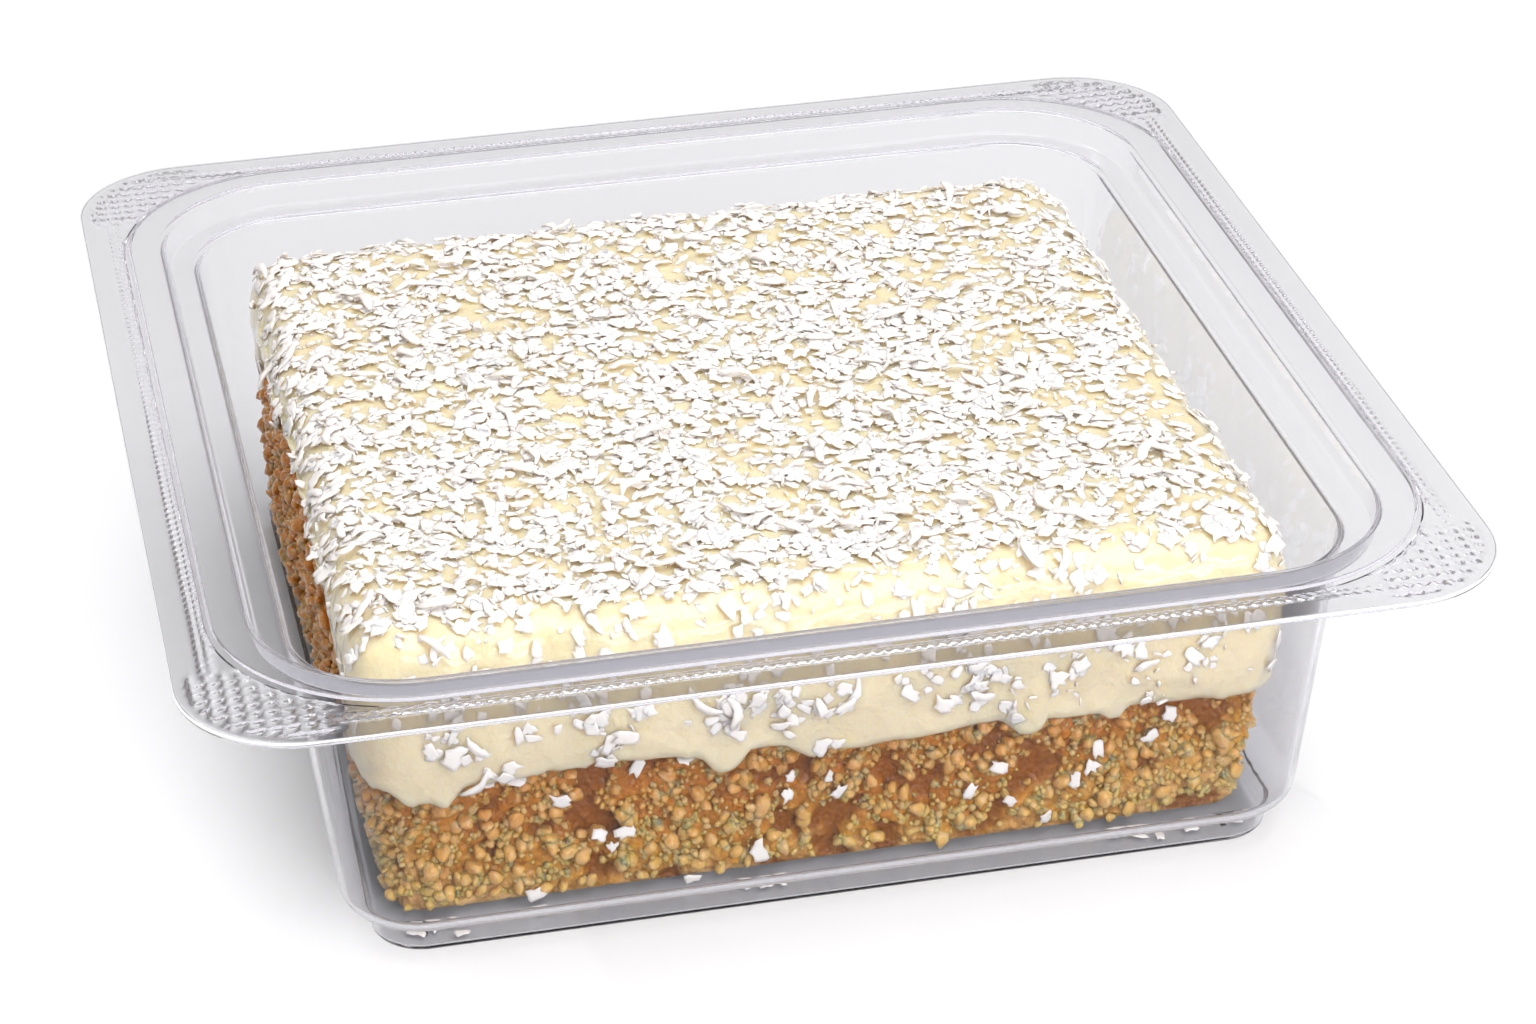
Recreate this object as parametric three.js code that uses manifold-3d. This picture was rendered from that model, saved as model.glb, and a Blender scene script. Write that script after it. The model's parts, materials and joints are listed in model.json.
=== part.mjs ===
// A square of syrup-soaked semolina sponge under a thick layer of custard, strewn with
// shredded coconut, in the open clear tray that it comes in.
//
// Millimetres, +Z up, -Y to the front. The origin is the middle of the tray's foot, on the
// surface that the tray stands on.
import * as THREE from "three";
import { mergeVertices } from "three/addons/utils/BufferGeometryUtils.js";
import Module from "manifold-3d";

const wasm = await Module();
wasm.setup();

// ---------------------------------------------------------------- driving dimensions

// The tray: one thermoformed sheet, square in plan. Each "half" is the distance from the
// middle of the tray to that line of the section, taken on the sheet's middle surface.
const SHEET = 0.7; // thickness of the sheet
const CORNER_CENTRE = 51; // the body's corner arcs share this centre, measured along X and Y
const FLANGE_CORNER = 15; // corner radius of the flange's outer edge
const CORNER_STEPS = 5; // straight pieces in a corner arc

const FOOT_HALF = 57.9; // foot that the tray stands on
const FOOT_TOP = 4.2; // height where the foot meets the shoulder
const SHOULDER_HALF = 60.8; // outer end of the shoulder, at the foot of the wall
const SHOULDER_TOP = 5.4;
const WALL_HALF = 65.3; // top of the wall, at the seat
const SEAT_Z = 43.2; // narrow level seat inside the rim
const SEAT_HALF = 69;
const RIM_HALF = 69.8; // inner edge of the raised rim band
const RIM_Z = 46.6;
const STEP_HALF = 74.2; // outer edge of the rim band
const STEP_FOOT_HALF = 74.8;
const FLANGE_HALF = 80; // outer edge of the flange
const FLANGE_Z = 46;
const TIGHT_BEND = 0.7; // bend radius at most folds of the sheet
const FOOT_BEND = 0.9; // bend radius at the foot's lower edge
const SHOULDER_BEND = 3.2; // bend radius where the shoulder turns up into the wall

// The cake: it lies on the tray's floor, a little off the middle, cut not quite square.
const CAKE_LENGTH = 110.5; // along X, over the sponge's foot
const CAKE_DEPTH = 106; // along Y
const CAKE_MIDDLE = [0.3, 2.6];
const CAKE_CORNER = 4.6; // corner radius seen from above
// Its sides lean out with the walls of the tray: the heights between which they do so, and
// how far the front, the right, the back and the left side come out over that stretch.
const LEAN_HEIGHTS = [4, 17.5];
const LEAN = [0.5, 2.5, 2.8, 1.3];
const CAKE_FOOT = 1.05; // underside of the sponge, just clear of the floor
const SEAM_Z = 19.6; // level where the custard lies on the sponge
const TOP_Z = 41.3; // level of the custard's top
const GAP = 0.3; // clear space between the sponge and the custard
const SIDE_CELLS = 28; // columns of relief along each side of the cake

// Relief of the sponge's cut sides and of the custard.
const CRUMB_DEPTH = 1.1; // how far the crumb falls back between two grains
const CRUMB_PROUD = 0.4; // how far a grain stands out
const CRUMB_ROWS = 7; // rows of relief up the sponge's sides
const CRUMB_SHIFT = 0.9; // how far a grain may lie above or below its row, in all
const EDGE_IN = 0.9; // how far the sponge's upper and lower edges lie inside its outline
const COLLAR_IN = 4.2; // width of the band between an edge and the middle of a level face
const SEAM_WAVE = 0.8; // rise and fall of the custard's lower edge
const LIP = [1.1, 1.3]; // the custard's lip stands this far out, at its root and at its tip
const DRIP_LONGEST = 2.4; // how far a drip hangs below the seam
const DRIP_SHORTEST = 0.5;
const BULGE = 1.9; // how far the custard bulges past the sponge
const BELLY = [0.4, 0.75]; // the custard's side is almost upright between these shares of it
const EDGE_DROP = [2.8, 0.7]; // the rounded top edge starts and ends this far below the top
const EDGE_TURN = [0.9, 3.2]; // and this far inside the custard's side
const TOP_SWELL = 0.5; // slow rise and fall of the custard's top
const TOP_BUMP = 0.45; // bumps of coconut too fine to model one by one

// Along the front the custard has settled unevenly: the height of its seam at places from
// left to right, [x, z], and two drips where it has run down the sponge, [x, length, width].
const FRONT_SEAM = [[-57, 20.8], [-44, 20.5], [-28, 21.4], [-10, 20.6], [5, 18.7], [22, 19.8], [59, 19.2]];
const FRONT_DRIPS = [[-50, 3, 4], [-14, 1.8, 3]];

// The left side is the edge of the slab that the cake was cut from: the sponge rose against
// the baking tin there, so it stands almost as high as the custard's top. The height of the
// seam at places along that side, from the back, 0, to the front, 1.
const LEFT_SEAM = [[0, 19.6], [0.12, 22], [0.25, 33], [0.5, 36], [0.8, 35.5], [0.93, 33], [1, 22]];

// Coconut: the largest shreds, one to each cell of a grid over the top, and a few that
// have slipped down the custard's sides.
const SHRED_CELL = 10.8;
const SHRED_LENGTH = [4.2, 7.4];
const SHRED_WIDTH = [1.8, 2.9];
const SHRED_THICKNESS = 0.9;
const SHRED_REACH = 1.4; // how far a shred at the edge may reach past the custard
const SIDE_SHREDS = 4; // shreds on each side of the custard
const SIDE_SHRED_HEIGHTS = [25.5, 35];
const LEFT_SHRED_HEIGHTS = [36.5, 39.5]; // the left side's custard starts higher
const SIDE_SHRED_SIZE = 0.8; // length of a shred on a side, next to one on the top
const SHRED_SINK = 0.3; // how deep a shred's middle lies in the custard
const SHRED_ARCH = [0.5, 1.4]; // how far its middle stands above its ends
const SHRED_TILT = [0.35, 0.25]; // largest tilt about its length and about its width

// ---------------------------------------------------------------- small helpers

// A repeatable random number from 0 to 1 for a pair of whole numbers.
function chance(a, b = 0) {
  const wave = Math.sin(a * 127.1 + b * 311.7 + 17.3) * 43758.5453;
  return wave - Math.floor(wave);
}

const between = ([low, high], t) => low + (high - low) * t;

// Smooth noise along a closed loop of `cells` cells, read at a place from 0 to 1.
function loopNoise(place, cells, seed) {
  const at = place * cells;
  const cell = Math.floor(at);
  const blend = (1 - Math.cos((at - cell) * Math.PI)) / 2;
  const value = (k) => chance(((k % cells) + cells) % cells, seed);
  return value(cell) * (1 - blend) + value(cell + 1) * blend;
}

// Smooth noise over the plane, with bumps `size` across.
function planeNoise(x, y, size, seed) {
  const [u, v] = [x / size, y / size];
  const [i, j] = [Math.floor(u), Math.floor(v)];
  const ease = (t) => t * t * (3 - 2 * t);
  const [s, t] = [ease(u - i), ease(v - j)];
  const value = (a, b) => chance(a + seed * 57, b - seed * 31);
  const low = value(i, j) * (1 - s) + value(i + 1, j) * s;
  const high = value(i, j + 1) * (1 - s) + value(i + 1, j + 1) * s;
  return low * (1 - t) + high * t;
}

// Distance between two points given as [x, y, z].
const distance = (a, b) => Math.hypot(a[0] - b[0], a[1] - b[1], a[2] - b[2]);

// A closed mesh from points and triangles, with its material and name.
function closedMesh(name, points, triangles, material) {
  const geometry = new THREE.BufferGeometry();
  geometry.setAttribute("position", new THREE.Float32BufferAttribute(points.flat(), 3));
  geometry.setIndex(triangles.flat());
  geometry.computeVertexNormals();
  const mesh = new THREE.Mesh(geometry, material);
  mesh.name = name;
  return mesh;
}

// Triangles of the skin between neighbouring rings of the same length, each four-sided
// cell split along its shorter diagonal. The rings run anticlockwise seen from above and
// climb the outside, so the faces point outwards.
function skin(rings) {
  const count = rings[0].length;
  const triangles = [];
  for (let k = 0; k + 1 < rings.length; k++) {
    for (let i = 0; i < count; i++) {
      const next = (i + 1) % count;
      const [a, b] = [k * count + i, k * count + next];
      const [c, d] = [b + count, a + count];
      const rising = distance(rings[k][i], rings[k + 1][next]);
      const falling = distance(rings[k][next], rings[k + 1][i]);
      if (rising < falling) triangles.push([a, b, c], [a, c, d]);
      else triangles.push([a, b, d], [b, c, d]);
    }
  }
  return triangles;
}

// A fan that closes a ring with a point at its middle, facing down or up.
function fan(firstPoint, count, middlePoint, facesUp) {
  const triangles = [];
  for (let i = 0; i < count; i++) {
    const a = firstPoint + i;
    const b = firstPoint + ((i + 1) % count);
    triangles.push(facesUp ? [middlePoint, a, b] : [middlePoint, b, a]);
  }
  return triangles;
}

// ---------------------------------------------------------------- the tray

// Replaces each inner corner of a section by an arc that touches both its lines.
function roundedSection(corners) {
  const section = [corners[0].slice(0, 2)];
  for (let k = 1; k + 1 < corners.length; k++) {
    const at = new THREE.Vector2(...corners[k]);
    const bend = corners[k][2];
    const back = new THREE.Vector2(...corners[k - 1]).sub(at).normalize();
    const on = new THREE.Vector2(...corners[k + 1]).sub(at).normalize();
    const halfAngle = Math.acos(back.dot(on)) / 2;
    const reach = bend / Math.tan(halfAngle);
    const middle = back.clone().add(on).normalize().multiplyScalar(bend / Math.sin(halfAngle)).add(at);
    const start = back.clone().multiplyScalar(reach).add(at).sub(middle);
    const end = on.clone().multiplyScalar(reach).add(at).sub(middle);
    const turn = Math.atan2(start.cross(end), start.dot(end));
    const steps = bend > 2 ? 4 : 2;
    for (let s = 0; s <= steps; s++) {
      const point = start.clone().rotateAround(new THREE.Vector2(), (turn * s) / steps).add(middle);
      section.push([point.x, point.y]);
    }
  }
  section.push(corners.at(-1).slice(0, 2));
  return section;
}

// Moves a section sideways by `shift`, to its left when it is followed outwards.
function offsetSection(section, shift) {
  return section.map(([half, z], k) => {
    const before = section[Math.max(k - 1, 0)];
    const after = section[Math.min(k + 1, section.length - 1)];
    const inward = new THREE.Vector2(half - before[0], z - before[1]).normalize();
    const onward = new THREE.Vector2(after[0] - half, after[1] - z).normalize();
    const along = inward.add(onward).normalize();
    const turned = k === 0 || k === section.length - 1 ? 1 : along.dot(onward);
    return [half - (along.y * shift) / turned, z + (along.x * shift) / turned];
  });
}

// One ring of the tray: a square with rounded corners.
function trayRing([half, z], cornerRadius) {
  const ring = [];
  for (let corner = 0; corner < 4; corner++) {
    const [signX, signY] = [[1, -1], [1, 1], [-1, 1], [-1, -1]][corner];
    for (let s = 0; s <= CORNER_STEPS; s++) {
      const angle = (Math.PI / 2) * (corner - 1 + s / CORNER_STEPS);
      ring.push([
        signX * (half - cornerRadius) + cornerRadius * Math.cos(angle),
        signY * (half - cornerRadius) + cornerRadius * Math.sin(angle),
        z,
      ]);
    }
  }
  return ring;
}

function makeTray() {
  const floor = SHEET / 2;
  const corners = [
    [FOOT_HALF - 6, floor],
    [FOOT_HALF - SHEET, floor, FOOT_BEND],
    [FOOT_HALF, FOOT_TOP, TIGHT_BEND],
    [SHOULDER_HALF, SHOULDER_TOP, SHOULDER_BEND],
    [WALL_HALF, SEAT_Z, TIGHT_BEND],
    [SEAT_HALF, SEAT_Z, TIGHT_BEND],
    [RIM_HALF, RIM_Z, TIGHT_BEND],
    [STEP_HALF, RIM_Z, 0.25],
    [STEP_FOOT_HALF, FLANGE_Z, 0.25],
    [FLANGE_HALF, FLANGE_Z],
  ];
  const middle = roundedSection(corners);
  const inside = offsetSection(middle, SHEET / 2);
  const outside = offsetSection(middle, -SHEET / 2);
  // The skin runs up the outside, over the flange's edge and down the inside.
  const section = [...outside, ...inside.reverse()];
  const rings = section.map((point) => {
    const onEdge = point[0] > FLANGE_HALF - 0.01;
    return trayRing(point, onEdge ? FLANGE_CORNER : point[0] - CORNER_CENTRE);
  });
  const count = rings[0].length;
  const points = rings.flat();
  points.push([0, 0, 0], [0, 0, SHEET]);
  const triangles = [
    ...skin(rings),
    ...fan(0, count, points.length - 2, false),
    ...fan((rings.length - 1) * count, count, points.length - 1, true),
  ];
  const clearPlastic = new THREE.MeshStandardMaterial({
    name: "clear plastic",
    color: 0xe9ecf2,
    roughness: 0.06,
    metalness: 0,
    transparent: true,
    opacity: 0.35,
  });
  return closedMesh("tray", points, triangles, clearPlastic);
}

// ---------------------------------------------------------------- the cake's outline

const RIM_POINTS = 4 * SIDE_CELLS;

// The four sides of the cake: the direction that faces out and the one that runs along.
const SIDES = [
  [[0, -1], [1, 0]],
  [[1, 0], [0, 1]],
  [[0, 1], [-1, 0]],
  [[-1, 0], [0, -1]],
];

// The cake's outline in plan: for each point its place on the rectangle with rounded
// corners, and the direction that faces out of the cake there. It starts at the front
// left corner and runs anticlockwise, with SIDE_CELLS points to a side.
function outline() {
  const [halfX, halfY] = [CAKE_LENGTH / 2, CAKE_DEPTH / 2];
  const places = [];
  for (let side = 0; side < 4; side++) {
    const [out, along] = SIDES[side];
    const reach = side % 2 ? halfY : halfX;
    const away = side % 2 ? halfX : halfY;
    for (let i = 0; i < SIDE_CELLS; i++) {
      const run = ((2 * i) / SIDE_CELLS - 1) * reach;
      const flat = reach - CAKE_CORNER;
      const past = Math.sign(run) * Math.max(0, Math.abs(run) - flat);
      const lean = (past / CAKE_CORNER) * (Math.PI / 4);
      const base = Math.sign(run) * Math.min(Math.abs(run), flat);
      const normal = [0, 1].map((k) => out[k] * Math.cos(lean) + along[k] * Math.sin(lean));
      const place = [0, 1].map((k) => {
        const arcCentre = CAKE_MIDDLE[k] + along[k] * base + out[k] * (away - CAKE_CORNER);
        return arcCentre + normal[k] * CAKE_CORNER;
      });
      places.push({ place, normal, part: (side * SIDE_CELLS + i) / RIM_POINTS });
    }
  }
  return places;
}

const OUTLINE = outline();

// A point of the upright cake, moved out to where the leaning cake has it.
function leaned([x, y, z]) {
  const share = THREE.MathUtils.clamp((z - LEAN_HEIGHTS[0]) / (LEAN_HEIGHTS[1] - LEAN_HEIGHTS[0]), 0, 1);
  const u = (x - CAKE_MIDDLE[0]) / (CAKE_LENGTH / 2);
  const v = (y - CAKE_MIDDLE[1]) / (CAKE_DEPTH / 2);
  return [x + share * u * LEAN[u > 0 ? 1 : 3], y + share * v * LEAN[v > 0 ? 2 : 0], z];
}

// A ring round the cake: each point stands `out` from the outline, at the height `z`.
function cakeRing(out, z) {
  return OUTLINE.map(({ place, normal, part }, i) => {
    const away = out(i, part);
    return leaned([place[0] + normal[0] * away, place[1] + normal[1] * away, z(i, part)]);
  });
}

// The height on a line of points [along, z] at the place x.
function heightOn(line, x) {
  const k = line.findIndex(([there]) => there >= x);
  if (k < 1) return line.at(k)[1];
  const [[x0, z0], [x1, z1]] = [line[k - 1], line[k]];
  return z0 + ((z1 - z0) * (x - x0)) / (x1 - x0);
}

// How much a place on the outline belongs to the front: 1 along it, and falling to 0 over
// the first stretch of the sides beside it. And its place along X, held at the front's ends.
const FRONT_FADE = 0.05;
function frontShare(part) {
  const past = part > 0.625 ? 1 - part : Math.max(0, part - 0.25);
  return Math.max(0, 1 - past / FRONT_FADE);
}
function frontX(part) {
  const turn = part > 0.625 ? 0 : Math.min(part, 0.25) * 4;
  return leaned([CAKE_MIDDLE[0] + (turn - 0.5) * CAKE_LENGTH, 0, SEAM_Z])[0];
}

// Height of the seam at the cake's sides.
function seamAt(part) {
  const share = frontShare(part);
  const wave = SEAM_WAVE * (1 - share / 2) * (2 * loopNoise(part, 44, 5) - 1);
  if (part > 0.75) return heightOn(LEFT_SEAM, 4 * part - 3) + wave;
  return SEAM_Z + share * (heightOn(FRONT_SEAM, frontX(part)) - SEAM_Z) + wave;
}

// How far the custard hangs below the seam.
function dripAt(part) {
  const small = DRIP_SHORTEST + (DRIP_LONGEST - DRIP_SHORTEST) * loopNoise(part, 52, 9) ** 2;
  const large = FRONT_DRIPS.map(
    ([x, length, width]) => frontShare(part) * length * Math.exp(-(((frontX(part) - x) / width) ** 2)),
  );
  return Math.max(small, ...large);
}

// ---------------------------------------------------------------- the sponge

function makeSponge() {
  const rings = [cakeRing(() => -COLLAR_IN, () => CAKE_FOOT)];
  for (let row = 0; row < CRUMB_ROWS; row++) {
    const up = row / (CRUMB_ROWS - 1);
    const edge = row === 0 || row === CRUMB_ROWS - 1;
    const out = (i) => (edge ? -EDGE_IN : CRUMB_PROUD - CRUMB_DEPTH * chance(i, row + 3));
    const z = (i, part) => {
      const shift = edge ? 0 : CRUMB_SHIFT * (chance(i, row + 40) - 0.5);
      return CAKE_FOOT + (seamAt(part) - CAKE_FOOT) * up + shift;
    };
    rings.push(cakeRing(out, z));
  }
  rings.push(cakeRing(() => -COLLAR_IN, () => SEAM_Z));
  const points = rings.flat();
  const [middleX, middleY] = CAKE_MIDDLE;
  points.push([middleX, middleY, CAKE_FOOT], [middleX, middleY, SEAM_Z]);
  const triangles = [
    ...skin(rings),
    ...fan(0, RIM_POINTS, points.length - 2, false),
    ...fan((rings.length - 1) * RIM_POINTS, RIM_POINTS, points.length - 1, true),
  ];
  const soakedSemolina = new THREE.MeshStandardMaterial({
    name: "syrup-soaked semolina",
    color: 0xc4883c,
    roughness: 0.45,
    metalness: 0,
    flatShading: true,
  });
  return closedMesh("sponge", points, triangles, soakedSemolina);
}

// ---------------------------------------------------------------- the custard

// Height of the custard's top: a slow swell, with bumps of the finest coconut.
function topHeight(x, y) {
  const swell = TOP_SWELL * (2 * planeNoise(x, y, 26, 2) - 1);
  const bump = TOP_BUMP * (2 * planeNoise(x, y, 4.2, 7) - 1);
  return TOP_Z + swell + bump;
}

// The grid that closes the custard's top, inside the last ring. Its outer points are
// the ring's own points.
function topGrid(ring, firstPoint, points) {
  const n = SIDE_CELLS;
  const index = [];
  const [low, high] = [ring[0], ring[2 * n]];
  for (let j = 0; j <= n; j++) {
    index.push([]);
    for (let i = 0; i <= n; i++) {
      if (j === 0) index[j].push(firstPoint + i);
      else if (i === n) index[j].push(firstPoint + n + j);
      else if (j === n) index[j].push(firstPoint + 3 * n - i);
      else if (i === 0) index[j].push(firstPoint + 4 * n - j);
      else {
        const x = low[0] + ((high[0] - low[0]) * i) / n;
        const y = low[1] + ((high[1] - low[1]) * j) / n;
        index[j].push(points.length);
        points.push([x, y, topHeight(x, y)]);
      }
    }
  }
  const triangles = [];
  for (let j = 0; j < n; j++) {
    for (let i = 0; i < n; i++) {
      const [a, b, c, d] = [index[j][i], index[j][i + 1], index[j + 1][i + 1], index[j + 1][i]];
      triangles.push([a, b, c], [a, c, d]);
    }
  }
  return triangles;
}

function makeCustardBody() {
  const bulge = (part) => BULGE * (0.75 + 0.5 * loopNoise(part, 36, 12));
  const topEdge = (part) => TOP_Z - 0.4 + 0.5 * (loopNoise(part, 48, 21) - 0.5);
  const dripTip = (part) => seamAt(part) - dripAt(part);
  const belly = (share) => (i, part) =>
    between([dripTip(part) + 1.5, topEdge(part) - EDGE_DROP[0]], share);
  const rings = [
    cakeRing(() => -COLLAR_IN, () => SEAM_Z + GAP),
    cakeRing(() => -EDGE_IN, (i, part) => seamAt(part) + GAP),
    cakeRing(() => LIP[0], (i, part) => seamAt(part) - 0.1),
    cakeRing(() => LIP[1], (i, part) => dripTip(part)),
    cakeRing((i, part) => bulge(part), (i, part) => dripTip(part) + 1.5),
    cakeRing((i, part) => 1.1 * bulge(part), belly(BELLY[0])),
    cakeRing((i, part) => bulge(part), belly(BELLY[1])),
    cakeRing((i, part) => bulge(part) - EDGE_TURN[0], (i, part) => topEdge(part) - EDGE_DROP[0]),
    cakeRing((i, part) => bulge(part) - EDGE_TURN[1], (i, part) => topEdge(part) - EDGE_DROP[1]),
  ];
  const inner = cakeRing(() => -COLLAR_IN, () => TOP_Z).map(([x, y]) => [x, y, topHeight(x, y)]);
  rings.push(inner);
  const points = rings.flat();
  const underside = points.length;
  points.push([...CAKE_MIDDLE, SEAM_Z + GAP]);
  const triangles = [
    ...skin(rings),
    ...fan(0, RIM_POINTS, underside, false),
    ...topGrid(inner, (rings.length - 1) * RIM_POINTS, points),
  ];
  return { points, triangles };
}

// One shred of coconut: a thin strip, bent along its length, with a skewed end.
function shred(length, seed) {
  const width = between(SHRED_WIDTH, chance(seed, 1));
  const arch = between(SHRED_ARCH, chance(seed, 2));
  const curl = (chance(seed, 3) - 0.5) * 0.5 * length;
  const points = [];
  for (let station = 0; station < 3; station++) {
    const along = station / 2 - 0.5;
    const bow = 1 - 4 * along * along;
    const half = (width / 2) * (station === 1 ? 1 : 0.7);
    for (const [side, up] of [[-1, 0], [1, 0], [1, 1], [-1, 1]]) {
      points.push([
        along * length + 0.3 * side * (station - 1),
        side * half + curl * bow,
        up * SHRED_THICKNESS + arch * bow - SHRED_SINK,
      ]);
    }
  }
  const triangles = [[0, 2, 1], [0, 3, 2], [8, 9, 10], [8, 10, 11]];
  for (let station = 0; station < 2; station++) {
    for (let k = 0; k < 4; k++) {
      const [a, b] = [4 * station + k, 4 * station + ((k + 1) % 4)];
      triangles.push([a, b, b + 4], [a, b + 4, a + 4]);
    }
  }
  return closedMesh("shred", points, triangles).geometry;
}

// Shreds over the top: the middle of each cell, moved and turned at random.
function topShreds() {
  const shreds = [];
  const [halfX, halfY] = [CAKE_LENGTH / 2 + SHRED_REACH, CAKE_DEPTH / 2 + SHRED_REACH];
  const across = Math.round((2 * halfX) / SHRED_CELL);
  const deep = Math.round((2 * halfY) / SHRED_CELL);
  for (let j = 0; j < deep; j++) {
    for (let i = 0; i < across; i++) {
      const seed = 100 + j * across + i;
      const length = between(SHRED_LENGTH, chance(seed, 4));
      const inset = length / 2;
      const cellX = -halfX + (2 * halfX * (i + chance(seed, 5))) / across;
      const cellY = -halfY + (2 * halfY * (j + chance(seed, 6))) / deep;
      const [x, y] = leaned([
        CAKE_MIDDLE[0] + THREE.MathUtils.clamp(cellX, inset - halfX, halfX - inset),
        CAKE_MIDDLE[1] + THREE.MathUtils.clamp(cellY, inset - halfY, halfY - inset),
        TOP_Z,
      ]);
      const geometry = shred(length, seed);
      geometry.rotateX((2 * chance(seed, 7) - 1) * SHRED_TILT[0]);
      geometry.rotateY((2 * chance(seed, 8) - 1) * SHRED_TILT[1]);
      geometry.rotateZ(chance(seed, 9) * Math.PI * 2);
      geometry.translate(x, y, topHeight(x, y));
      shreds.push(geometry);
    }
  }
  return shreds;
}

// Shreds that cling to the upper half of each side of the custard.
function sideShreds() {
  const shreds = [];
  for (let side = 0; side < 4; side++) {
    for (let k = 0; k < SIDE_SHREDS; k++) {
      const seed = 900 + side * SIDE_SHREDS + k;
      const alongSide = (k + between([0.25, 0.75], chance(seed, 1))) / SIDE_SHREDS;
      const { place, normal } = OUTLINE[Math.floor((side + alongSide) * SIDE_CELLS)];
      const geometry = shred(between(SHRED_LENGTH, chance(seed, 4)) * SIDE_SHRED_SIZE, seed);
      geometry.rotateZ(Math.PI * (0.3 + 0.4 * chance(seed, 5)));
      geometry.rotateX(Math.PI / 2);
      geometry.rotateZ(Math.atan2(normal[1], normal[0]) + Math.PI / 2);
      const heights = side === 3 ? LEFT_SHRED_HEIGHTS : SIDE_SHRED_HEIGHTS;
      const height = between(heights, chance(seed, 6));
      geometry.translate(...leaned([place[0] + normal[0] * BULGE, place[1] + normal[1] * BULGE, height]));
      shreds.push(geometry);
    }
  }
  return shreds;
}

// ---------------------------------------------------------------- joining

// A closed geometry as a solid that can be joined to others.
function solidOf(geometry) {
  const bare = geometry.clone();
  bare.deleteAttribute("normal");
  const merged = mergeVertices(bare, 1e-4);
  return new wasm.Manifold(
    new wasm.Mesh({
      numProp: 3,
      vertProperties: merged.attributes.position.array,
      triVerts: new Uint32Array(merged.index.array),
    }),
  );
}

// A joined solid as a geometry.
function geometryOf(solid) {
  const { numProp, vertProperties, triVerts } = solid.getMesh();
  const geometry = new THREE.BufferGeometry();
  const positions = new Float32Array((vertProperties.length / numProp) * 3);
  for (let i = 0; i < positions.length / 3; i++) {
    positions.set(vertProperties.subarray(i * numProp, i * numProp + 3), i * 3);
  }
  geometry.setAttribute("position", new THREE.BufferAttribute(positions, 3));
  geometry.setIndex(new THREE.BufferAttribute(triVerts, 1));
  geometry.computeVertexNormals();
  return geometry;
}

function makeCustard() {
  const { points, triangles } = makeCustardBody();
  const custardAndCoconut = new THREE.MeshStandardMaterial({
    name: "custard with coconut",
    color: 0xf3ecd6,
    roughness: 0.4,
    metalness: 0,
    flatShading: true,
  });
  const mesh = closedMesh("custard", points, triangles, custardAndCoconut);
  const body = solidOf(mesh.geometry);
  let joined = body;
  for (const geometry of [...topShreds(), ...sideShreds()]) joined = joined.add(solidOf(geometry));
  // A shred that misses the custard is a loose scrap, and is dropped.
  const [largest] = joined.decompose().sort((a, b) => b.volume() - a.volume());
  mesh.geometry = geometryOf(largest);
  return mesh;
}

// ---------------------------------------------------------------- the whole

const semolinaCake = new THREE.Group();
semolinaCake.name = "semolina custard cake";
semolinaCake.add(makeTray(), makeSponge(), makeCustard());

export default semolinaCake;
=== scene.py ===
# %% [markdown]
# # A semolina custard cake in its clear tray
#
# This lesson dresses a plain solid model of a cake: a square of syrup-soaked semolina
# sponge under thick custard, strewn with shredded coconut, in an open tray of clear
# plastic. The solid model gives every size and place, so each piece below is made where
# its solid stands, and hides it.

# %% Load the solid model
import json
import math

import bmesh
import bpy
import numpy as np
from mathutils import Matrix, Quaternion, Vector, noise

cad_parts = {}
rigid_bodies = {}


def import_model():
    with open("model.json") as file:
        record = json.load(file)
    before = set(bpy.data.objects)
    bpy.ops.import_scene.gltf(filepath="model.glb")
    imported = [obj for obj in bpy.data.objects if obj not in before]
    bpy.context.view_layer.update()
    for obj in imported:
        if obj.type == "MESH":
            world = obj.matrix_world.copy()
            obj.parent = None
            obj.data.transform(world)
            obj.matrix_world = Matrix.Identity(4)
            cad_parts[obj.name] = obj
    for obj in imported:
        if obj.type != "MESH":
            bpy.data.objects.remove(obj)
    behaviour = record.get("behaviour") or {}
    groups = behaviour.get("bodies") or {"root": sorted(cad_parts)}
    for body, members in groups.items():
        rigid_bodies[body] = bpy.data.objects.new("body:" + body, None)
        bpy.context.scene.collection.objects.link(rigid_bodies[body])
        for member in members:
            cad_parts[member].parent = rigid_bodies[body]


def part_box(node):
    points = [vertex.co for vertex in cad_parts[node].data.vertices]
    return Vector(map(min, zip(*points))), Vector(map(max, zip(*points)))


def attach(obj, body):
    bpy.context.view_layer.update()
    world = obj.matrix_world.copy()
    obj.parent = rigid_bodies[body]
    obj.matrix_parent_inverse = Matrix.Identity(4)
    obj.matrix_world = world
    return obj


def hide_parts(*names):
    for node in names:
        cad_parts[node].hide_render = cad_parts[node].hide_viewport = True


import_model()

scene = bpy.context.scene
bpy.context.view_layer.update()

# %% [markdown]
# ## Small helpers
#
# Sizes are in millimetres, as a cook or a maker of trays knows them, and each mesh is
# turned to metres as it is made. Points are arrays with one row to a point, so a whole
# surface can be moved with one line.

# %% Meshes from points in millimetres
MM = 0.001


def make_piece(name, points, faces):
    """An object at the origin whose mesh has these points, given in millimetres."""
    mesh = bpy.data.meshes.new(name)
    mesh.from_pydata((np.asarray(points) * MM).tolist(), [], faces)
    mesh.validate()
    mesh.shade_smooth()
    piece = bpy.data.objects.new(name, mesh)
    scene.collection.objects.link(piece)
    return piece


def paint(piece, name, values):
    """Stores one number for each point of a mesh, for a material or a tree to read."""
    piece.data.attributes.new(name, "FLOAT", "POINT").data.foreach_set("value", values)


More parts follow.
